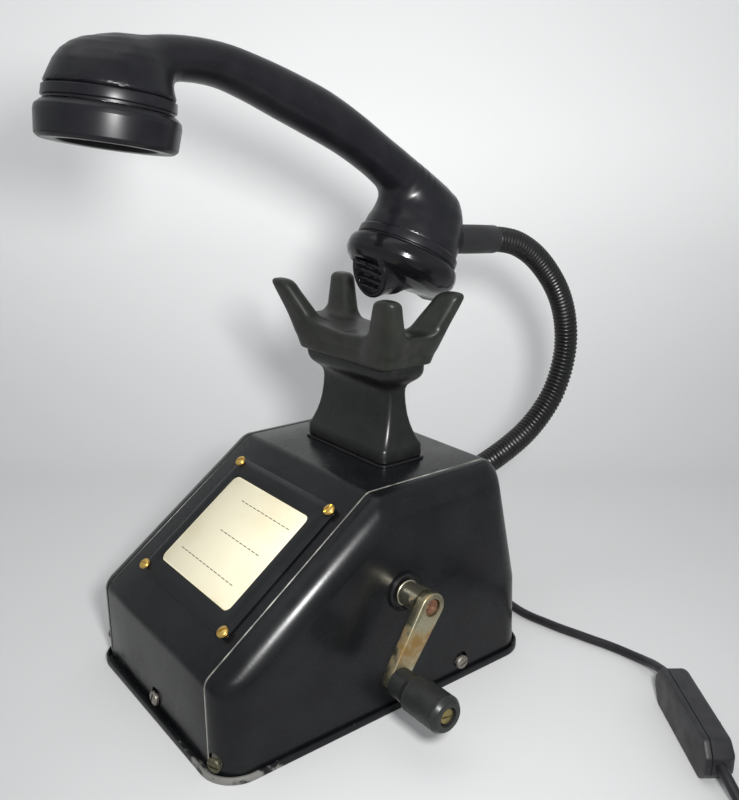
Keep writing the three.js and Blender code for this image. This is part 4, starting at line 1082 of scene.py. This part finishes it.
def make_arm():
    """Flat lever between two round ends, with a recess for the grub screw and a hole for the grip."""
    c = CRANK
    along = Vector((c["grip_y"] - c["y"], c["grip_z"] - c["z"])).normalized()
    heading = math.atan2(along.y, along.x)
    outline = []
    for cy, cz, radius, start in ((c["grip_y"], c["grip_z"], 5.6, -90), (c["y"], c["z"], 7.2, 90)):
        for i in range(25):
            angle = heading + math.radians(start + 180 * i / 24)
            outline.append((cy + radius * math.cos(angle), cz + radius * math.sin(angle)))
    shape = loft([[(x, y, z) for y, z in outline] for x in (c["arm_in"], c["arm_out"])])
    obj = bevelled(mesh_object("crank_lever", shape, 30), 0.45)
    recess = cylinder(4.5, 9, (c["arm_in"] + 1, c["y"], c["z"]), X_AXIS)
    pivot = cylinder(2.7, 9, (c["arm_in"] - 1, c["grip_y"], c["grip_z"]), X_AXIS, 32)
    cut_by(obj, recess, pivot)
    finish_piece(obj, "crank", "nickel", "lever", "crank_arm")


BARREL = 9  # radius of the grip's knurled part
KNURL = {"from": 12.6, "to": 30.4, "starts": 40, "depth": 0.34, "lead": 26.0, "step": 0.45}


def barrel_stepped(outline):
    """The closed outline with points added along the barrel, for the knurling to move."""
    profile = []
    for a, b in zip(outline, outline[1:] + outline[:1]):
        on_barrel = abs(a[0] - BARREL) < 0.05 and abs(b[0] - BARREL) < 0.05
        count = max(1, round(abs(b[1] - a[1]) / KNURL["step"])) if on_barrel else 1
        for k in range(count):
            profile.append((a[0] + (b[0] - a[0]) * k / count, a[1] + (b[1] - a[1]) * k / count))
    return profile


def knurled(points):
    """Two crossed sets of fine grooves round the barrel."""
    k = KNURL
    shaped = []
    for x, y, h in points:
        radius, angle = math.hypot(x, y), math.atan2(y, x)
        if radius > BARREL - 0.1 and k["from"] < h < k["to"]:
            turn, phase = k["starts"] * angle / 2, math.pi * k["starts"] * h / k["lead"] / 4
            cross = abs(math.sin(turn + phase)) + abs(math.sin(turn - phase))
            scale = 1 - k["depth"] * (1 - cross / 2) / radius
            x, y = x * scale, y * scale
        shaped.append((x, y, h))
    return shaped


def make_grip():
    c = CRANK
    outline = filleted([(2.8, 0), (7.2, 0, 0.6), (7.3, 9, 3), (BARREL, 12, 1.2), (BARREL, 31.5, 2.2),
                        (7.2, 34, 1.2), (4.3, 34, 0.3), (4.3, 31.4), (2.8, 31.4)], 5, closed=True)
    points, faces = lathe(barrel_stepped(outline), (0, 0, 0), Z_AXIS, 160, closed=True)
    placed = [(c["arm_out"] + GAP + h, c["grip_y"] + x, c["grip_z"] + y) for x, y, h in knurled(points)]
    piece("grip", (placed, faces), "grip", "dull_bakelite", "dull_grip", "crank_grip", sharp=60)


def make_grip_screw():
    at = Vector((CRANK["arm_in"] + 0.4, CRANK["grip_y"], CRANK["grip_z"]))
    length = 38.6
    screw = [(0, 0), (2.4, 0), (2.4, 36.9), (3.8, 36.9), (3.8, length - 0.4, 0.5), (0, length)]
    obj = mesh_object("grip_bolt", turned(screw, at, X_AXIS, 48), 40)
    turn = Matrix.Rotation(math.radians(-12), 3, "X")
    cut_by(obj, block(at + X_AXIS * length, (0.8, 5, 0.5), turn))
    finish_piece(obj, "crank", "brass", "old_brass", "grip_screw")


# ---- gooseneck
BACK_NORMAL = Vector((0, HOUSING["top"] - HOUSING["back_bend_z"],
                      HOUSING["back_bend_y"] - HOUSING["back_top_y"])).normalized()
SOCKET = Vector((0, back_wall_y(70.0), 70.0))
NECK_ROUTE = (
    SOCKET + BACK_NORMAL * 7.6, SOCKET + BACK_NORMAL * 20, (0, 120, 78.3), (0, 137, 83.0), (0, 153, 88.6),
    (0, 167, 95), (0, 180, 104), (0, 191.5, 116), (0, 199, 131), (0, 202.3, 148), (0, 200, 166),
    (0, 192.6, 183), (0, 180.5, 198), (0, 166, 210.2), (0, 150.6, 218.0), (0, 138, 220.9), (0, 131.3, 221.6),
)
SPLIT_Y = 138.2  # where the lower stretch hands over to the upper one
RIB_PITCH = 2.65
RIB_SECTION = ((0.0, 6.75), (0.2, 7.1), (0.38, 7.45), (0.62, 7.45), (0.8, 7.1))  # share of a rib, radius


def ribbed_tube(line, along, first, last):
    """Ribs first to last along the line, each a small rounded hoop."""
    pitch = along[-1] / round(along[-1] / RIB_PITCH)
    levels = [((rib + share) * pitch, radius) for rib in range(first, last) for share, radius in RIB_SECTION]
    levels.append((last * pitch, RIB_SECTION[0][1]))
    rings = []
    for s, radius in levels:
        tangent = (point_along(line, along, s + 0.5) - point_along(line, along, s - 0.5)).normalized()
        normal = Vector((0, -tangent.z, tangent.y))
        rings.append(hoop(point_along(line, along, s), X_AXIS, normal, radius, 32))
    return loft(rings)


def make_gooseneck():
    line, along = arc_lengths(smooth_path(NECK_ROUTE, 24))
    ribs = round(along[-1] / RIB_PITCH)
    split = round(along[np.argmax(line[:, 1] > SPLIT_Y)] / along[-1] * ribs)
    lower, upper = ribbed_tube(line, along, 0, split), ribbed_tube(line, along, split, ribs)
    low = piece("gooseneck_foot", lower, None, "black_rubber", "rubber", "gooseneck_lower", sharp=60)
    high = piece("gooseneck_arc", upper, None, "black_rubber", "rubber", "gooseneck_upper", sharp=60)
    return low, high


def blend_gooseneck(low, high):
    """Bakes the placing of the foot and the arc into their meshes."""
    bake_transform(low)
    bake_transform(high)


def make_socket_and_sleeve():
    nut = [(0, -5), (5.1, -5), (5.1, 0.3), (10, 0.3, 0.4), (10, 3, 0.8), (8.6, 7.3, 0.6), (0, 7.3)]
    nut = turned(nut, SOCKET, BACK_NORMAL)
    piece("gooseneck_nut", nut, "housing", "black_rubber", "rubber", "gooseneck_socket")
    sleeve = [(0, -8), (5, -8), (5, 0), (8.2, 0, 0.3), (8.25, SLEEVE_LENGTH * 0.5, 9),
              (8.1, SLEEVE_LENGTH, 0.9), (0, SLEEVE_LENGTH)]
    sleeve = turned(sleeve, SLEEVE_FROM, SLEEVE_AXIS)
    piece("sleeve", sleeve, "handset", "black_rubber", "sleeve", "gooseneck_sleeve")


# ---- handset
def up_axis(end):
    tilt = math.radians(end["tilt"])
    return Vector((0, math.sin(tilt), math.cos(tilt)))


EAR_AT, EAR_UP = Vector((0, EAR["y"], EAR["z"])), up_axis(EAR)
MOUTH_AT, MOUTH_UP = Vector((0, MOUTH["y"], MOUTH["z"])), up_axis(MOUTH)
EAR_FLOOR, MOUTH_FLOOR = 5.4, 7.2
EAR_CUP = [(-1, EAR_FLOOR), (23.9, EAR_FLOOR), (23.9, 7.3), (24.8, 7.9), (26.0, 8.4), (26.4, 9.2),
           (24.9, 13.6), (23.2, 18.0), (20.8, 21.9), (17.5, 25.0), (13, 27.6), (7, 29.4), (-1, 30.2)]
MOUTH_CUP = [(-1, MOUTH_FLOOR), (24.9, MOUTH_FLOOR), (24.9, 9.2), (26.7, 9.9), (26.8, 10.8), (26.3, 16),
             (24.4, 23), (20.8, 30), (14.5, 35.4), (7, 37.6), (-1, 38)]
BOSS = [(-1, -16), (9.6, -16), (9.6, -GAP), (-1, -GAP)]
# Handle stations: y, z, half width, half thickness.
HANDLE = (
    (-88, 306.6, 15.0, 9.6), (-66, 309.4, 13.2, 9.3), (-45.4, 308.0, 12.2, 9.5), (-28, 302.9, 12.2, 10.3),
    (-10.5, 296.2, 12.6, 11.3), (8, 288.6, 13, 11.7), (26, 279.6, 13, 11.1), (41, 270.6, 13.2, 10.7),
    (55, 261.3, 14.2, 11.2), (69, 249.5, 17.5, 13.5), (78, 239.5, 20.5, 16.5),
)


def handle_stations():
    """Handle line and sizes evened out along a smooth curve."""
    path = smooth_path([(y, z, 0) for y, z, _, _ in HANDLE], 4)
    sizes = smooth_path([(w, t, 0) for _, _, w, t in HANDLE], 4)
    return [(p.x, p.y, s.x, s.y) for p, s in zip(path, sizes)]


HANDLE_STATIONS = handle_stations()


def height_along(p, origin, axis):
    return (p - np.array(origin)) @ np.array(axis)


def handset_field(p):
    """Handle, both cups and the boss for the sleeve run together; each cup has a flat floor."""
    handle = swept_distance(p, HANDLE_STATIONS)
    ear = turned_distance(p, EAR_AT, EAR_UP, EAR_CUP)
    mouth = turned_distance(p, MOUTH_AT, MOUTH_UP, MOUTH_CUP)
    boss = turned_distance(p, SLEEVE_FROM, SLEEVE_AXIS, BOSS)
    whole = soft_min(soft_min(handle, ear, 7.0), mouth, 9.0)
    whole = soft_min(whole, boss, 3.0)
    below_ear = EAR_FLOOR - height_along(p, EAR_AT, EAR_UP)
    below_mouth = MOUTH_FLOOR - height_along(p, MOUTH_AT, MOUTH_UP)
    near_mouth = (p[..., 1] > 20) & (p[..., 2] < 262)
    whole = np.where(p[..., 1] < -40, soft_max(whole, below_ear, 0.8), whole)
    return np.where(near_mouth, soft_max(whole, below_mouth, 0.8), whole)


def make_handset_shell():
    shape = surface_of(handset_field, (-29, -125, 200), (29, 104, 324), 1.25)
    piece("handset_body", shape, "handset", "gloss_bakelite", "gloss", "handset_shell", sharp=50)


def make_ear_end():
    r = EAR["radius"]
    ring = [(24.3, 2.3), (26.2, 2.3), (26.2, 3.2), (27.2, 3.5, 0.5), (27.0, 7.4, 0.4), (26.2, 7.9, 0.3),
            (25.7, 7.9), (25.4, 7.3), (24.3, 7.3)]
    ring = turned(ring, EAR_AT, EAR_UP, 96, closed=True)
    piece("ear_band", ring, "handset", "gloss_bakelite", "gloss", "ear_ring", sharp=40)
    cap = [(24.3, 1.9), (r - 2.7, 1.9, 0.5), (r - 0.3, -0.3, 1.2), (r, -2.4, 1.5), (r - 0.8, -11.6, 1.6),
           (r - 2.6, -13.0, 1.2), (20.5, -12.8, 0.8), (20.5, -9.8, 0.3), (24.3, -9.8)]
    cap = turned(cap, EAR_AT, EAR_UP, 120, steps=6, closed=True)
    piece("ear_cover", cap, "handset", "gloss_bakelite", "gloss", "ear_cap", sharp=40)
    lens = [(0, -9.5), (19, -9.4, 3), (23.8, -9.2, 0.4), (23.8, -7.6, 0.4), (0, -7.0)]
    lens = turned(lens, EAR_AT, EAR_UP, 72, steps=5)
    piece("diffuser", lens, "handset", "frosted_lens", "lens", "lamp_lens")


# Speaking horn on the mouth cap: a round grille, then the spout that runs back to a pointed lip.
GRILLE = {"y": 40.6, "z": 210.4, "radius": 13.9, "tilt": 6.0, "slot_pitch": 4.3}
SPOUT = [(50, 220), (50, 198.4), (55, 199.6), (61, 200.2), (69, 198.6), (77, 194.4), (84.5, 189.4),
         (87.6, 190.8), (88.6, 196), (84, 204), (70, 214)]
SPOUT_HALF_WIDTH = ((48, 62, 76, 90), (12.0, 11.8, 13.0, 12.0))  # y places, and the half width at each
DOME_TOP = 4.2
DOME = [(-1, DOME_TOP), (28.9, DOME_TOP), (30.0, 3.4), (30.7, 1.6), (31.1, -1.0), (30.8, -3.8),
        (29.4, -6.4), (26.8, -8.6), (22, -10.6), (15, -11.9), (8, -12.4), (-1, -12.5)]


def grille_frame(p):
    """Coordinates on the grille: across, up, and out of its face."""
    tilt = math.radians(GRILLE["tilt"])
    rel = p - np.array((0, GRILLE["y"], GRILLE["z"]))
    up = rel @ np.array((0, -math.sin(tilt), math.cos(tilt)))
    out = rel @ np.array((0, -math.cos(tilt), -math.sin(tilt)))
    return p[..., 0], up, out


def horn_distance(p, across, up, out):
    barrel = np.hypot(across, up) - GRILLE["radius"] - 0.07 * np.minimum(out, 0)
    barrel = soft_max(barrel, np.abs(out + 12) - 14.2, 1.2)
    side = polygon_distance(p[..., 1], p[..., 2], SPOUT)
    width = np.interp(p[..., 1], *SPOUT_HALF_WIDTH)
    spout = soft_max(side + 0.4, np.abs(across) - width, 5.0)
    return soft_min(barrel, spout, 4.0)


def mouth_cap_field(p):
    """Domed cap with its horn, four slanted slots in the grille and a fine groove round them."""
    across, up, out = grille_frame(p)
    whole = soft_min(turned_distance(p, MOUTH_AT, MOUTH_UP, DOME), horn_distance(p, across, up, out), 2.0)
    whole = soft_max(whole, height_along(p, MOUTH_AT, MOUTH_UP) - DOME_TOP, 0.6)
    around = np.hypot(across, up)
    bowed = up + 0.6 + 0.12 * across - 0.5 * np.cos(across * math.pi / 20)
    for k in (-1.5, -0.5, 0.5, 1.5):
        slot = np.maximum(np.abs(bowed - k * GRILLE["slot_pitch"]) - 1.0, around - 10.6)
        whole = soft_max(whole, -np.maximum(slot, np.abs(out - 2.2) - 2.8), 0.5)
    groove = np.maximum(np.abs(around - 11.9) - 0.3, np.abs(out - 2.2) - 0.5)
    return soft_max(whole, -groove, 0.3)


def make_mouth_end():
    ring = [(25.3, 4.7), (27.4, 4.7), (27.4, 5.4), (28.2, 5.8, 0.5), (28.0, 9.6, 0.5), (27.5, 10.3, 0.4),
            (27.1, 10.4), (27.0, 9.4), (25.3, 9.4)]
    ring = turned(ring, MOUTH_AT, MOUTH_UP, 96, closed=True)
    piece("mouth_band", ring, "handset", "gloss_bakelite", "gloss", "mouth_ring", sharp=40)
    shape = surface_of(mouth_cap_field, (-34, 32, 184), (34, 93, 235), 0.7)
    piece("mouth_cover", shape, "handset", "gloss_bakelite", "shiny", "mouth_cap", sharp=50)


# ---- cord, switch and plug
RELIEF_ROUTE = ((18.2, 100, 12.9), (19.8, 105.4, 12.3), (23.7, 110.6, 10.9))
TAIL_ROUTE = (
    (29.4, 114.4, 8.9), (35, 116.7, 6.6), (41, 118, 4.6), (47.5, 118.9, 3.3), (54, 120, 2.7),
    (64, 121.7, 2.7), (74, 123.6, 2.7), (83, 125.9, 2.7), (92, 128.1, 2.7), (101, 130.5, 2.7),
    (109.5, 132.2, 2.7), (117, 132.8, 3), (124.4, 132, 4.2), (131.4, 129.7, 6.3), (137.8, 126.4, 8.5),
    (143.6, 123.1, 10.1), (147.9, 120, 10.5),
)
SWITCH_ROUTE = ((165.9, 106.6, 10.5), (184.2, 92.9, 10.5))
LEAD_ROUTE = (
    (202.7, 79, 10.5), (207, 76.2, 9.5), (212.3, 73.7, 7), (217.8, 71.4, 4.4), (222.8, 68.6, 2.8),
    (227, 65.2, 2.7), (230.2, 61.2, 2.7),
)
COIL_ENTRY = ((202, 43.1), (213, 41.4))  # degrees and radius, easing from the lead onto the outer turn
COIL_START = 225.0
COIL_OUTER = 40.85
COIL_PITCH = 5.1
COIL_TURNS = (4.2, 0.15, 4.108)  # inwards on the floor, level at the innermost turn, outwards on top
LAYER = (2.6, 7.8)


def coil_point(degrees, radius, z):
    angle = math.radians(degrees)
    return COIL["x"] + radius * math.cos(angle), COIL["y"] + radius * math.sin(angle), z


def coil_points():
    """Spiral inwards on the floor, climb, then spiral back out on top and leave on a tangent."""
    inwards, level, _ = COIL_TURNS
    turns = sum(COIL_TURNS)
    count = round(turns * 24)
    points = [coil_point(degrees, radius, LAYER[0]) for degrees, radius in COIL_ENTRY]
    for i in range(count + 1):
        t = turns * i / count
        radius = COIL_OUTER - COIL_PITCH * (min(t, inwards) - max(t - inwards - level, 0))
        climb = min(max((t - inwards + 0.2) / 0.4, 0), 1)
        z = LAYER[0] + (LAYER[1] - LAYER[0]) * climb * climb * (3 - 2 * climb)
        points.append(coil_point(COIL_START + 360 * t, radius, z))
    return points


def plug_tangent():
    """Where the cord leaves the coil for the plug, and in which direction."""
    angle = math.radians(PLUG["exit_deg"])
    along = Vector((-math.sin(angle), math.cos(angle), 0))
    start = Vector((COIL["x"], COIL["y"], PLUG["z"])) + Vector((along.y, -along.x, 0)) * PLUG["turn_radius"]
    return start, along


def cord_curve(name, points):
    data = bpy.data.curves.new(name, "CURVE")
    data.dimensions = "3D"
    data.bevel_depth = CORD["radius"] * MM
    data.bevel_resolution = 5
    data.resolution_u = 6
    data.use_fill_caps = True
    spline = data.splines.new("BEZIER")
    spline.bezier_points.add(len(points) - 1)
    for point, place in zip(spline.bezier_points, points):
        point.co = Vector(place) * MM
        point.handle_left_type = "AUTO"
        point.handle_right_type = "AUTO"
    cord = bpy.data.objects.new(name, data)
    bpy.context.scene.collection.objects.link(cord)
    data.materials.append(MAT["cord"])
    return cord


def make_cord():
    """Mains cord from the housing through the switch and the coil to the plug."""
    start, along = plug_tangent()
    to_plug = [start + along * s + Z_AXIS * z for s, z in ((11, 0.6), (22, 0.2), (PLUG["lead"] + 1, 0))]
    exit_point = (CORD["exit_x"], back_wall_y(CORD["exit_z"]) + 0.5, CORD["exit_z"])
    points = [exit_point, *RELIEF_ROUTE, *TAIL_ROUTE, *SWITCH_ROUTE, *LEAD_ROUTE, *coil_points(), *to_plug]
    cord = cord_curve("mains_cord", points)
    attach(cord, "housing")
    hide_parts("cord_tail", "cord_lead", "cord_coil", "plug_lead")


RELIEF = {"steps": 60, "root": 4.6, "taper": 1.2, "groove": 0.35, "sides": 24}


def make_strain_relief():
    """Collar in the back wall, and a tapering sleeve with grooves that bends with the cord."""
    r = RELIEF
    y = back_wall_y(CORD["exit_z"])
    collar = [(2.6, -4.5), (5.4, -4.5), (5.4, -1.5), (4.1, -1.5), (4.1, 0.3), (6.2, 0.3, 0.3),
              (6.2, 2.2, 0.7), (2.6, 2.2)]
    collar = turned(collar, (CORD["exit_x"], y, CORD["exit_z"]), (0, 1, 0), 48, closed=True)
    start = (CORD["exit_x"], y + 1, CORD["exit_z"])
    path = even_path(smooth_path([start, *RELIEF_ROUTE, (29, 114.2, 9.05)], 8), r["steps"] + 1)
    rings = []
    for k, at in enumerate(path):
        tangent = (path[min(k + 1, r["steps"])] - path[max(k - 1, 0)]).normalized()
        side = tangent.cross(Z_AXIS).normalized()
        groove = r["groove"] if k % 6 in (2, 3) and 6 < k < 54 else 0.0
        radius = r["root"] - r["taper"] * k / r["steps"] - groove
        rings.append(hoop(at, side, side.cross(tangent), radius, r["sides"]))
    shape = joined(collar, loft(rings))
    return piece("cord_sleeve", shape, "housing", "cord_pvc", "sleeve", "strain_relief", sharp=60)


SWITCH_TURN = Matrix(((0.8, 0, 0.6), (-0.6, 0, 0.8), (0, 1, 0)))
ROCKER_AT = 80  # along the switch, on the same scale as its from and to


def switch_ring(inset, across):
    """Long outline with blunt ends, pulled in by inset, at a distance across the switch."""
    low, high = 0.1 + inset, SWITCH["width"] - inset
    a, b = SWITCH["from"] + inset, SWITCH["to"] - inset
    corners = [(a + 6.4, low, 3), (b - 5.6, low, 3), (b, 6.4, 2.4), (b, SWITCH["width"] - 6.4, 2.4),
               (b - 5.6, high, 3), (a + 6.4, high, 3), (a, SWITCH["width"] - 8, 2.4), (a, 8, 2.4)]
    return [SWITCH_TURN @ Vector((s, z, across)) for s, z in filleted(corners, 4, closed=True)]


def switch_loft(foot, levels):
    return loft([switch_ring(inset, foot + height) for inset, height in levels])


def make_switch():
    """Floor, cover and rocker of the in-line switch."""
    plate = switch_loft(SWITCH["plate"], ((0.9, 0), (0.3, 0.2), (0.0, 0.8), (0.0, 2.8), (0.2, 3.0)))
    floor = piece("switch_floor", plate, "housing", "switch_plastic", "plastic", "switch_plate", sharp=40)
    foot = SWITCH["plate"] + 3 + GAP
    depth = SWITCH["far"] - foot
    levels = ((0.2, 0), (0.0, 0.2), (0.0, depth - 3.4), (0.4, depth - 1.9), (1.1, depth - 0.8),
              (2.2, depth - 0.15), (3.4, depth))
    cover = mesh_object("switch_body", switch_loft(foot, levels), 40)
    at = SWITCH_TURN @ Vector((ROCKER_AT, SWITCH["width"] / 2, SWITCH["far"] - 2.4))
    cut_by(cover, block(at, (12, 5.9, 4.6), SWITCH_TURN))
    finish_piece(cover, "housing", "switch_plastic", "plastic", "switch_cover")
    return [floor, cover, make_rocker()]


def make_rocker():
    """Rocker with a dished face, pressed down at one end."""
    half, depth, tilt = 11.0, 5.0, math.radians(8)
    face = [(-half, 5.6, 0.5), (-half * 0.5, 4.3, 9), (0, 3.9, 9), (half * 0.5, 4.3, 9), (half, 5.6, 0.5)]
    outline = filleted([(half, 1.2), (0, -0.6, 3), (-half, 1.2), *face], 4, closed=True)
    pivot = SWITCH_TURN @ Vector((ROCKER_AT, SWITCH["width"] / 2, SWITCH["far"] - 4.4))
    rings = []
    for z, shrink in ((-depth, 0.3), (-depth + 0.3, 0), (depth - 0.3, 0), (depth, 0.3)):
        ring = []
        for a, b in outline:
            a, b = a * (1 - shrink / half), b - shrink * 0.5 if b > 3 else b
            s = a * math.cos(tilt) - b * math.sin(tilt)
            n = a * math.sin(tilt) + b * math.cos(tilt)
            ring.append(pivot + SWITCH_TURN @ Vector((s, z, n)))
        rings.append(ring)
    return piece("rocker_key", loft(rings), "rocker", "switch_plastic", "plastic", "switch_rocker", sharp=40)


# Plug sections: distance from its cord end, half width, half height, corner radius.
PLUG_SECTIONS = (
    (0, 4.2, 3.9, 2.2), (5, 4.8, 4.4, 2.4), (11, 6.8, 5.3, 3), (17, 11, 6.3, 3.6), (24, 16.2, 6.8, 4),
    (29, 17.5, 6.85, 4), (44, 17.6, 6.85, 4), (49, 17.5, 6.7, 4), (51.2, 17.0, 6.1, 4), (52, 16.0, 5.2, 4),
)
PIN_OFFSET = 8.75
PIN = [(0, 8), (1.95, 8), (1.95, 19, 0.9), (0, 20)]
PIN_SLEEVE = [(0, 0), (2.0, 0), (2.0, 9, 0.2), (0, 9)]


def make_plug():
    """Flat two-pin plug: body, bare pins and the sleeves at their roots."""
    start, along = plug_tangent()
    start = start + along * PLUG["lead"]
    side = Vector((-along.y, along.x, 0))
    rings = []
    for s, half, high, corner in PLUG_SECTIONS:
        outline = rounded_rect(half, high, corner, 8)
        rings.append([start + along * s + side * a + Z_AXIS * b for a, b in outline])
    body = piece("plug_body", loft(rings), "housing", "switch_plastic", "plastic", "mains_plug", sharp=40)
    roots = [start + along * 51 + side * offset for offset in (-PIN_OFFSET, PIN_OFFSET)]
    pins = joined(*(turned(PIN, root, along, 32) for root in roots))
    sleeves = joined(*(turned(PIN_SLEEVE, root, along, 32, steps=3) for root in roots))
    return [body, piece("plug_pins", pins, "housing", "brass", "nickel", sharp=40),
            piece("pin_sleeves", sleeves, "housing", "switch_plastic", "plastic", sharp=40)]


# ---- parts kept from the CAD
KEPT = {
    "steel": ("fork_stem", "hook_switch", "magneto_plate_right", "magneto_plate_left", "magneto_armature",
              "ringer_frame", "ringer_clapper"),
    "brass": ("drive_gear", "gong_right", "gong_left"),
    "copper": ("ringer_magnet",),
    "red": ("magneto_magnet_right", "magneto_magnet_left"),
    "pale": ("lamp_driver",),
    "aluminium": ("lamp_module",),
}


def dress_kept_parts():
    """Materials for the inner parts, which keep their CAD shape."""
    for material, names in KEPT.items():
        for name in names:
            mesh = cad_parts[name].data
            mesh.materials.clear()
            mesh.materials.append(MAT[material])


# ---- stage
# Metres: along the camera's heading, upwards, and the radius of the sweep between floor and wall.
STAGE = {"near": -3.0, "away": 0.434, "top": 2.4, "radius": 0.17, "half_width": 4}
# The one sheet of paper is given a darker tone on the floor: painted shade.
SHADED_FLOOR_TONE, WALL_TONE = (0.55, 0.55, 0.552), (0.95, 0.95, 0.945)


def stage_shape():
    """Floor that sweeps up into a wall, square to the camera."""
    radius = STAGE["radius"]
    bend = STAGE["away"] - radius
    profile = [(STAGE["near"], 0.0), (bend, 0.0)]
    for k in range(1, 13):
        angle = math.radians(90 * k / 12)
        profile.append((bend + radius * math.sin(angle), radius * (1 - math.cos(angle))))
    profile.append((STAGE["away"], STAGE["top"]))
    yaw = math.radians(CAMERA_YAW)
    ahead, right = Vector((-math.sin(yaw), math.cos(yaw), 0)), Vector((math.cos(yaw), math.sin(yaw), 0))
    points = [(ahead * a + right * side + Z_AXIS * z) / MM
              for side in (-STAGE["half_width"], STAGE["half_width"]) for a, z in profile]
    count = len(profile)
    return points, [(i, i + 1, count + i + 1, count + i) for i in range(count - 1)]


def stage_paper():
    """Pale paper that can be seen through from behind; its darker floor, brightening up the sweep into the
    wall, is painted shade.
    """
    n = Nodes("stage_paper")
    # Painted shade: darker on the floor, brightening up the sweep to 0.3 m.
    color = n.mix(n.ramp(n.coordinate("Z"), 0.0, 0.3), SHADED_FLOOR_TONE, WALL_TONE)
    paper = n.set(color=color, rough=0.9, specular=0.2)
    one_sided = n.add("ShaderNodeMixShader")
    n.link(n.add("ShaderNodeNewGeometry").outputs["Backfacing"], one_sided.inputs[0])
    n.link(n.add("ShaderNodeBsdfTransparent").outputs[0], one_sided.inputs[1])
    n.link(n.shader.outputs[0], one_sided.inputs[2])
    n.link(one_sided.outputs[0], n.tree.nodes["Material Output"].inputs["Surface"])
    return paper


def make_stage():
    sweep = mesh_object("stage_sweep", stage_shape(), 60)
    sweep.data.materials.append(stage_paper())


def area_light(name, at, target, size, power, color=(1, 1, 1), spread=180):
    """Round light; places and size in metres, power in watts, spread in degrees."""
    data = bpy.data.lights.new(name, "AREA")
    data.shape = "DISK"
    data.size = size
    data.spread = math.radians(spread)
    data.energy = power
    data.color = color
    light = bpy.data.objects.new(name, data)
    light.location = at
    light.rotation_euler = (Vector(target) - Vector(at)).to_track_quat("-Z", "Y").to_euler()
    bpy.context.scene.collection.objects.link(light)


def make_lights():
    """A small hard flash beside the camera, soft light from above, and a pale room."""
    world = bpy.data.worlds.new("studio")
    world.use_nodes = True
    room = world.node_tree.nodes["Background"]
    room.inputs["Color"].default_value = (0.95, 0.975, 1.0, 1)
    room.inputs["Strength"].default_value = 0.6
    bpy.context.scene.world = world
    area_light("flash", (0.381, -0.189, 0.309), (0, 0.05, 0.17), 0.06, 1.2, spread=100)
    area_light("overhead", (-0.35, -0.25, 2.3), (0, 0, 0), 2.6, 16, (1.0, 0.985, 0.955))
    bpy.context.scene.view_settings.view_transform = "Standard"


# ---- assembly
make_camera()
cord_fittings = [*make_plug(), make_strain_relief(), *make_switch()]
make_cord()

make_base_plate()
make_centre_shell()
make_cheek(1, "right")
make_cheek(-1, "left")
make_plaque()
make_label()
make_writing_lines()
make_screws()
make_neck()
make_fork()
make_spring()
make_crank()
foot, arc = make_gooseneck()
make_socket_and_sleeve()
make_handset_shell()
make_ear_end()
make_mouth_end()
blend_gooseneck(foot, arc)
dress_kept_parts()

make_stage()
make_lights()
